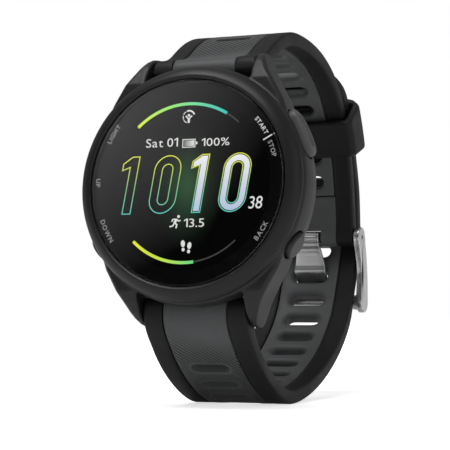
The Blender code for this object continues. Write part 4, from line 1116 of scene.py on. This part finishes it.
def close_rows(rows, *edges):
    """Rows with more of them beside each edge, so that its rounding shows."""
    for edge in edges:
        rows = rows + [edge] + [edge + side * k for k in (0.06, 0.22, 0.5, 0.95)
                                for side in (1, -1)]
    return sorted(set(round(s, 4) for s in rows))


CORE_END, NOTCH_HALF, NOTCH_AT = 9.0, 2.75, 81.02
ROOT_ROWS = (1.0, 0.97, 0.9, 0.8, 0.66, 0.5, 0.33, 0.16)
core_stop = PIN_AT - CORE_END
rows = [-ROOT_R * k for k in ROOT_ROWS] + evenly(0, PIN_AT, ROW_PITCH)
rows += [PIN_AT + END_R * k for k in ROOT_ROWS]
slab("strap_short_edges", inner_layer, close_rows(rows, core_stop, NOTCH_AT),
     lambda s: STRAP_HALF,
     lambda s: root_half(s) if s < PIN_AT / 2 else end_half(PIN_AT - s),
     lambda x, s: (abs(x) < CORE_HALF + CORE_GAP and s < core_stop)
     or (abs(x) < NOTCH_HALF and s > NOTCH_AT),
     lambda x, s: abs(x) < CORE_HALF + SEAM_ZONE and s < core_stop + SEAM_ZONE,
     black_silicone, "strap_upper_body", "strap_upper")

# (distance from the tip, share of the full width), and how thick the tip is left
TIP_THICK, TIP_RUN, LONG_SLACK = 0.62, 1.1, 0.25
TIP_SHARES = ((0.0, 0.35), (0.25, 0.45), (0.7, 0.55), (1.4, 0.68), (2.2, 0.78),
              (3.3, 0.87), (4.5, 0.93), (6.0, 0.98), (7.5, 1.0))


def long_width(s):
    """Half width of the long strap, which draws in to a round tip."""
    share = float(np.interp(s - TIP_AT, *zip(*TIP_SHARES)))
    return (STRAP_HALF - LONG_SLACK * (1 - ease((s - BAR_AT) / ROOT_RUN))) * share


def long_half(s):
    return root_half(LOOP - s) * (TIP_THICK + (1 - TIP_THICK) * ease((s - TIP_AT) / TIP_RUN))


core_start = TIP_AT + CORE_END
rows = [TIP_AT + k for k in (0.0, 0.12, 0.25, 0.45, 0.7, 1.1)]
rows += evenly(TIP_AT + 1.4, LOOP, ROW_PITCH) + [LOOP + ROOT_R * k for k in ROOT_ROWS]
slab("strap_long_edges", outer_layer, close_rows(rows, core_start), long_width, long_half,
     lambda x, s: abs(x) < CORE_HALF + CORE_GAP and s > core_start,
     lambda x, s: abs(x) < CORE_HALF + SEAM_ZONE and s > core_start - SEAM_ZONE,
     black_silicone, "strap_lower_body", "strap_lower")

# ---------------------------------------------------------------- Strap middles
# The second shot, in softer dark-grey silicone, with the row of slots that the tongue goes
# through. The slots are crisp outside and flare softly on the side that touches the wrist.
SLOT_HALF, SLOT_R, PITCH = 2.5, 1.2, 5.55
# Grey silicone, with hatch ridges every 0.64 mm cut in the mould, drawn darker along them as
# painted shade.
grey_silicone = silicone("silicone_grey_hatched", "#4c4d4e", 0.5,
                         {"angle": 43, "pitch": 0.64, "dark": "#141516"})
# (growth of the slot's outline, drop below the face, which face): the outer edge, the middle
# of the wall, which is on neither face, and the flare inside
LIPS = ((0.32, 0.0, 1), (0.16, 0.03, 1), (0.05, 0.12, 1), (0.0, 0.30, 1), (0.0, 1.35, 0),
        (0.04, 0.85, -1), (0.14, 0.55, -1), (0.32, 0.30, -1), (0.58, 0.12, -1),
        (0.88, 0.03, -1), (1.15, 0.0, -1))


COLUMNS, SLOT_STEPS, ROW_STEP, LANE_HALF, FLANK = 16, 8, 0.75, 6.0, 3.0
HATCH_TO, HATCH_FADE = 24.0, 10.0           # where the hatch begins to die away, and over what


def middle_part(name, layer, ends, half, slots, bar_distance, body, node):
    """A strap's grey middle: a grid with a ring of faces worked round each slot."""
    flat = [LANE_HALF * (2 * k / COLUMNS - 1) for k in range(COLUMNS + 1)]
    side = [-CORE_HALF, -CORE_HALF + 0.06] + flat + [CORE_HALF - 0.06, CORE_HALF]
    slots = sorted(slots)
    cuts = [(s - PITCH / 2, s + PITCH / 2) for s in slots]
    rows = []
    for cut in cuts:
        rows += evenly(*cut, PITCH / SLOT_STEPS)
    rows += evenly(ends[0], cuts[0][0], ROW_STEP) + evenly(cuts[-1][1], ends[1], ROW_STEP)
    for edge, way in zip(ends, (1, -1)):
        rows += [edge + way * k for k in (0.06, 0.22)]
    rows = sorted(set(round(s, 3) for s in rows))

    def level(x, s):
        near = min(CORE_HALF - abs(x), s - ends[0], ends[1] - s)
        thick = half(s)
        return thick - eased(max(near, 0.0), min(SEAM_R, thick * 0.7))

    def strength(x, s, out):
        """The hatch stands beside the slots and dies away on a slant towards the case."""
        if out < 0:
            return 0.0
        fade = ease((bar_distance(s) - 1.5 - 0.25 * (x + CORE_HALF)) / 6.0)
        return fade * (1 - ease((bar_distance(s) - HATCH_TO) / HATCH_FADE))

    verts, faces, flats = [], [], []

    def put(x, s, out, share=1.0):
        verts.append(at(layer, x, s, out))
        flats.append((x, s, strength(x, s, out) * share))
        return len(verts) - 1

    grid = {}

    def node_at(j, s, out):
        key = (j, round(s, 3), out)
        if key not in grid:
            x = side[j]
            grid[key] = put(x, s, out * level(x, s))
        return grid[key]

    for s, t in zip(rows, rows[1:]):
        within = any(a - 1e-3 < (s + t) / 2 < b + 1e-3 for a, b in cuts)
        for j in range(len(side) - 1):
            if within and 2 <= j < len(side) - 3:
                continue
            quad = [(j, s), (j + 1, s), (j + 1, t), (j, t)]
            faces.append(tuple(node_at(*p, 1) for p in quad))
            faces.append(tuple(node_at(*p, -1) for p in quad[::-1]))
        for j in (0, len(side) - 1):
            faces.append((node_at(j, s, 1), node_at(j, t, 1), node_at(j, t, -1),
                          node_at(j, s, -1)))
    for s in ends:
        s = min(rows, key=lambda r: abs(r - s))
        for j in range(len(side) - 1):
            faces.append((node_at(j, s, 1), node_at(j + 1, s, 1), node_at(j + 1, s, -1),
                          node_at(j, s, -1)))
    for middle, (a, b) in zip(slots, cuts):
        own = [s for s in rows if a - 2e-3 < s < b + 2e-3]
        lane = range(2, len(side) - 2)
        border = [(j, own[0]) for j in lane] + [(lane[-1], s) for s in own[1:]]
        border += [(j, own[-1]) for j in lane[-2::-1]] + [(2, s) for s in own[-2:0:-1]]
        directions = []
        for j, s in border:
            x = side[j]
            foot = SLOT_HALF * min(max(x / FLANK, -1.0), 1.0)
            away = np.array((0.0 if abs(x) < FLANK + 0.01 else x - foot, s - middle))
            directions.append((foot, away / np.linalg.norm(away), np.array((x, s))))
        loops = [[node_at(j, s, 1) for j, s in border]]
        # (share of the way in from the border, growth, drop, which face, hatch) of each loop
        steps = [(share, LIPS[0][0], 0.0, 1, 1.0) for share in (0.4, 0.75)]
        steps += [(1.0, growth, drop, which, 0.0) for growth, drop, which in LIPS]
        steps += [(0.4, LIPS[-1][0], 0.0, -1, 1.0)]
        for share, growth, drop, which, hatch in steps:
            loop = []
            for foot, way, spot in directions:
                x, s = spot * (1 - share) + (np.array((foot, middle))
                                             + way * (SLOT_R + growth)) * share
                loop.append(put(x, s, which * (half(s) - drop), hatch))
            loops.append(loop)
        loops.append([node_at(j, s, -1) for j, s in border])
        count = len(border)
        for one_loop, next_loop in zip(loops, loops[1:]):
            for k in range(count):
                n = (k + 1) % count
                faces.append((one_loop[k], one_loop[n], next_loop[n], next_loop[k]))
    made = piece(name, verts, faces, grey_silicone, body, [node], sharp=60)
    layer = made.data.attributes.new("strap_mm", "FLOAT_VECTOR", "POINT")
    layer.data.foreach_set("vector", np.array(flats, np.float32).ravel())
    return made


FIRST_SLOT, LAST_SLOT, TONGUE_SLOT = 3.2, 12.5, 8.7   # from the core's end, bar and pin
up_slots, s = [], core_stop - FIRST_SLOT
while s > LAST_SLOT:
    up_slots.append(s)
    s -= PITCH
ENGAGED = PIN_AT + TONGUE_SLOT
TIP_CLEAR, BAR_CLEAR = 2.4, 9.5             # no slot closer to the core's start, or the bar
low_slots = [ENGAGED + PITCH * k for k in range(-20, 40)
             if core_start + TIP_CLEAR < ENGAGED + PITCH * k < LOOP - BAR_CLEAR]
ROOT_END = ROOT_R * 0.985
middle_part("strap_short_middle", inner_layer, (-ROOT_END, core_stop - CORE_GAP), root_half,
            up_slots, lambda s: s, "strap_upper_body", "strap_upper_core")
# the long strap's middle lies a little below its edges at the root, to clear the case
SUNK, SUNK_RUN = 0.15, 5.0
middle_part("strap_long_middle", outer_layer, (core_start + CORE_GAP, LOOP + ROOT_END),
            lambda s: root_half(LOOP - s) - SUNK * (1 - ease((LOOP - s) / SUNK_RUN)), low_slots,
            lambda s: LOOP - s, "strap_lower_body", "strap_lower_core")
# The grey runs on beside the notch to the end of the short strap.
short_edges = bpy.data.objects["strap_short_edges"].data
short_edges.materials.append(grey_silicone)
for polygon in short_edges.polygons:
    if abs(polygon.center.x - centre.x) < CORE_HALF * MM:
        polygon.material_index = 1

# ---------------------------------------------------------------- Keeper
# A free loop of the black silicone that slides along the strap and holds the long end down.
# Its outer corners are cut off in flats, and its rims are rolled to a soft edge.
KEEPER_ROOM, KEEPER_WALL = 0.6, 1.5
HOLD_IN, HOLD_OUT = -THIN_HALF - KEEPER_ROOM, KEEPER_LIFT + THIN_HALF + KEEPER_ROOM
# (distance from the rim, how far the skin draws back there) outside and inside
OUTER_RIM = ((0.0, 0.62), (0.06, 0.38), (0.22, 0.17), (0.45, 0.05), (0.75, 0.0))
INNER_RIM = ((0.0, 0.3), (0.12, 0.12), (0.4, 0.0))


def hoop(side, low_w, high_w, chamfer_x, chamfer_w, radius, count=6):
    """Section of the keeper with its outer corners cut in flats, all turns eased."""
    corners = [(side, low_w + chamfer_w * 0.35), (side, high_w - chamfer_w),
               (side - chamfer_x, high_w), (-side + chamfer_x, high_w),
               (-side, high_w - chamfer_w), (-side, low_w + chamfer_w * 0.35),
               (-side + chamfer_x * 0.35, low_w), (side - chamfer_x * 0.35, low_w)]
    corners = [np.array(c) for c in corners]
    points = []
    for k, corner in enumerate(corners):
        before, after = corners[k - 1], corners[(k + 1) % len(corners)]
        a, b = before - corner, after - corner
        pull = min(radius, np.linalg.norm(a) * 0.45, np.linalg.norm(b) * 0.45)
        a, b = a / np.linalg.norm(a) * pull, b / np.linalg.norm(b) * pull
        for t in np.linspace(0, 1, count):
            points.append(corner + a * (1 - t) ** 2 + b * t ** 2)
        gap = np.linalg.norm(after - corner)
        start, stop = corner + b, after + (corner - after) / gap * pull
        for t in (0.25, 0.5, 0.75):
            points.append(start * (1 - t) + stop * t)
    return points


inner_side = STRAP_HALF + KEEPER_ROOM
front, back = KEEPER_AT - KEEPER_HALF, KEEPER_AT + KEEPER_HALF
rows = [(front + edge, "out", drop) for edge, drop in OUTER_RIM]
rows += [(s, "out", 0.0) for s in evenly(front + 1.5, back - 1.5, 0.9)]
rows += [(back - edge, "out", drop) for edge, drop in OUTER_RIM[::-1]]
rows += [(back - edge, "in", -drop) for edge, drop in INNER_RIM]
rows += [(s, "in", 0.0) for s in evenly(back - 1.2, front + 1.2, 0.9)]
rows += [(front + edge, "in", -drop) for edge, drop in INNER_RIM[::-1]]
verts = []
for s, which, drop in rows:
    if which == "out":
        loop = hoop(inner_side + KEEPER_WALL - drop, HOLD_IN - KEEPER_WALL + drop,
                    HOLD_OUT + KEEPER_WALL * 1.5 - drop, 2.3, 3.0, 1.3)
    else:
        loop = hoop(inner_side - drop, HOLD_IN + drop, HOLD_OUT - drop, 0.6, 0.7, 0.6)
    verts += [at(inner_layer, x, s, w) for x, w in loop]
faces = skin(len(rows), len(loop), closed=True)
piece("keeper_loop", verts, faces, black_silicone, "keeper_body", ["keeper"], sharp=44)

# ---------------------------------------------------------------- Buckle
# Stainless steel, blanked and bent, then brushed along its length: two arms on the pin, the
# round far bar that joins them, and a broad tongue rolled round the pin between ribs.
PIN_POINT, pin_along, pin_out = inner_layer(PIN_AT)
BAR_R, ARM_WALL, ARM_IN, ARM_DEEP, ARM_BOW = 1.3, 1.4, STRAP_HALF + 0.25, 4.4, 0.9
BAR_ROOM, T_HALF = 0.35, 0.4                # over the strap to the bar; half the tongue's sheet
bar_point = outer_layer(BAR_AT, THIN_HALF + BAR_ROOM + BAR_R)[0]
run = bar_point - PIN_POINT
run_length = float(np.linalg.norm(run))
run /= run_length
out_of = np.array((-run[1], run[0]))


def brushed(name, colour, roughness, along):
    """Brushed stainless steel: scratches 0.1 mm apart drawn at 0.15 mm, long in one way."""
    made, tree, shader = finish_of(name, colour, roughness, Metallic=1.0, Anisotropic=0.5)
    coords = add(tree, "ShaderNodeTexCoord")
    long_scale, fine_scale = 60, 6500
    spread = [along[k] * long_scale + (1 - abs(along[k])) * fine_scale for k in range(3)]
    fine = add(tree, "ShaderNodeVectorMath", {"operation": "MULTIPLY", 1: spread},
               {0: (coords, "Object")})
    lines = add(tree, "ShaderNodeTexNoise", {"Scale": 1.0, "Detail": 3.0},
                {"Vector": (fine, 0)})
    rough = add(tree, "ShaderNodeMapRange",
                {"From Min": 0.3, "From Max": 0.7, "To Min": roughness - 0.08,
                 "To Max": roughness + 0.1}, {"Value": (lines, "Fac")})
    tree.links.new(rough.outputs[0], shader.inputs["Roughness"])
    bump = add(tree, "ShaderNodeBump", {"Strength": 0.25, "Distance": 0.01 * MM},
               {"Height": (lines, "Fac")})
    tree.links.new(bump.outputs[0], shader.inputs["Normal"])
    return made


frame_steel = brushed("stainless_steel_brushed_long", "#c9c9ca", 0.32, (0.0, 0.35, 0.93))
tongue_steel = brushed("stainless_steel_brushed_tongue", "#b4b4b5", 0.36, (0.0, 0.0, 1.0))


def in_plane(p, q):
    """Point of the buckle's side view: p from the pin towards the far bar, q outward."""
    return PIN_POINT + run * p + out_of * q


# side view of an arm: full round the pin, waisted, and swelling to the far bar
waist = ((-ARM_DEEP / 2, 0.0), (-1.55, 1.55), (0.0, 2.2), (3.4, 2.05), (7.0, 1.85),
         (10.0, 2.05), (run_length, 2.2), (run_length + 1.55, 1.5), (run_length + 2.2, 0.0),
         (run_length + 1.55, -1.5), (run_length, -2.15), (10.0, -1.9), (7.0, -1.65),
         (3.4, -1.85), (0.0, -2.2), (-1.55, -1.55))
outline = [np.array(p) for p in curved(waist + (waist[0],), 6)[:-1]]
count = len(outline)
middle_line = [np.array((min(max(p[0], 0.0), run_length), 0.0)) for p in outline]
verts, faces = [], []
for side in (1, -1):
    base = len(verts)
    # hole at the pin, outer face, rounded edges, inner face
    steps = [(ARM_WALL - 0.9, None, 0.42), (ARM_WALL - 0.04, None, 0.42),
             (ARM_WALL, None, 0.50)]
    steps += [(ARM_WALL, 0.55, None), (ARM_WALL, 0.30, None), (ARM_WALL - 0.05, 0.14, None),
              (ARM_WALL - 0.16, 0.04, None), (ARM_WALL - 0.32, 0.0, None),
              (0.28, 0.0, None), (0.12, 0.05, None), (0.0, 0.22, None), (0.0, 0.6, None)]
    for out_x, inset, hole in steps:
        for p, m in zip(outline, middle_line):
            if hole is None:
                away = p - m
                spot = p - away / max(np.linalg.norm(away), 1e-6) * inset
            else:
                a = math.atan2(p[1], p[0] if p[0] < 2 else 2.0 + (p[0] - 2) * 0.25)
                spot = hole * np.array((math.cos(a), math.sin(a)))
            bow = math.sin(math.pi * min(max(spot[0] / run_length, 0.0), 1.0)) ** 1.5
            verts.append(across(side * (ARM_IN + out_x),
                                in_plane(spot[0], spot[1] + ARM_BOW * bow)))
    faces += skin(len(steps), count, base) + end_faces(len(steps), count, base)
# the far bar: round in the middle, flattening where it turns into the arms
BAR_SIDES, TUBE_SIDES, PIN_SIDES = 32, 64, 24
base, stations = len(verts), evenly(-ARM_IN - 0.4, ARM_IN + 0.4, 1.0)
for x in stations:
    swell = ease((abs(x) - ARM_IN + 3.0) / 3.0)
    for k in range(BAR_SIDES):
        a = 2 * math.pi * k / BAR_SIDES
        verts.append(across(x, in_plane(run_length + (BAR_R + 0.35 * swell) * math.cos(a),
                                        (BAR_R + 0.3 * swell) * math.sin(a))))
faces += skin(len(stations), BAR_SIDES, base) + end_faces(len(stations), BAR_SIDES, base)
piece("buckle_arms", verts, faces, frame_steel, "buckle_body", ["buckle_frame"], sharp=35)

# The tongue, as one strip along its side view, wide where it lies in the slot.
above = THIN_HALF + BAR_ROOM + T_HALF
lead = PIN_POINT - pin_out * 1.35 + pin_along * 1.5
plate_start = outer_layer(ENGAGED - 2.0, -above - 0.05)[0]
# (point, width) from the pin over the strap's end, up through the slot and onto the bar
spine = [(PIN_POINT - pin_out * 1.1 - pin_along * 1.2, 4.7),
         (PIN_POINT - pin_out * 1.42 - pin_along * 0.2, 4.7), (lead, 4.8),
         (lead * 0.6 + plate_start * 0.4, 5.7), (plate_start, 6.7),
         (outer_layer(ENGAGED - 0.9, -above * 0.86)[0], 7.0),
         (outer_layer(ENGAGED - 0.1, 0.0)[0], 7.0),
         (outer_layer(ENGAGED + 0.7, above * 0.95)[0], 6.6),
         (bar_point - run * 1.6 + out_of * (BAR_R + 0.62), 5.6),
         (bar_point + out_of * (BAR_R + 0.75), 4.8),
         (bar_point + run * BAR_R * 0.8 + out_of * (BAR_R + 0.70), 4.0)]
path = [np.array(p) for p in curved([(*point, width) for point, width in spine], 8)]
RIBBED_TO, RIB_STEPS, RIB_HIGH = 22, 6, 0.20
verts = []
for k, spot in enumerate(path):
    before, after = path[max(k - 1, 0)][:2], path[min(k + 1, len(path) - 1)][:2]
    way = (after - before) / np.linalg.norm(after - before)
    across_way = np.array((-way[1], way[0]))
    half_width = spot[2] / 2
    close = min(k, len(path) - 1 - k)
    thick = T_HALF * (0.55 if close == 0 else 0.85 if close == 1 else 1.0)
    ribbed = 1 - ease((k - RIBBED_TO) / 4)
    thick += RIB_HIGH * ribbed * (math.sqrt(abs(math.sin(math.pi * k / RIB_STEPS))) - 0.6)
    profile = [(half_width, thick * 0.5), (half_width - 0.1, thick * 0.85)]
    profile += [(x, thick) for x in np.linspace(half_width - 0.25, 0.25 - half_width, 9)]
    profile += [(-half_width + 0.1, thick * 0.85), (-half_width, thick * 0.5)]
    profile += [(x, -w) for x, w in profile[::-1]]
    verts += [across(x, spot[:2] + across_way * w) for x, w in profile]
faces = skin(len(path), len(profile)) + end_faces(len(path), len(profile))
# ribs rolled round the pin
base = len(verts)
tube = ((-2.3, 1.05), (-2.35, 1.22), (-2.28, 1.34), (-2.1, 1.40), (2.1, 1.40), (2.28, 1.34),
        (2.35, 1.22), (2.3, 1.05))
for x, r in tube:
    for k in range(TUBE_SIDES):
        a = 2 * math.pi * k / TUBE_SIDES
        ribbed = r + 0.16 * (math.sqrt(abs(math.sin(4 * a))) - 0.7) * (r > 1.1)
        verts.append(across(x, PIN_POINT + ribbed * np.array((math.cos(a), math.sin(a)))))
faces += skin(len(tube), TUBE_SIDES, base, closed=True)
piece("tongue_plate", verts, faces, tongue_steel, "tongue_body", ["buckle_tongue"], sharp=40)
# the pin, a plain rod whose ends stand a little below the arms' faces
PIN_R, PIN_END = 0.7, ARM_IN + ARM_WALL - 0.95
verts, stations = [], evenly(-PIN_END, PIN_END, 2.0)
for x in stations:
    for k in range(PIN_SIDES):
        a = 2 * math.pi * k / PIN_SIDES
        verts.append(across(x, PIN_POINT + PIN_R * np.array((math.cos(a), math.sin(a)))))
faces = skin(len(stations), PIN_SIDES) + end_faces(len(stations), PIN_SIDES)
piece("pin_rod", verts, faces, turned_steel, "buckle_body", ["buckle_pin"], sharp=40)
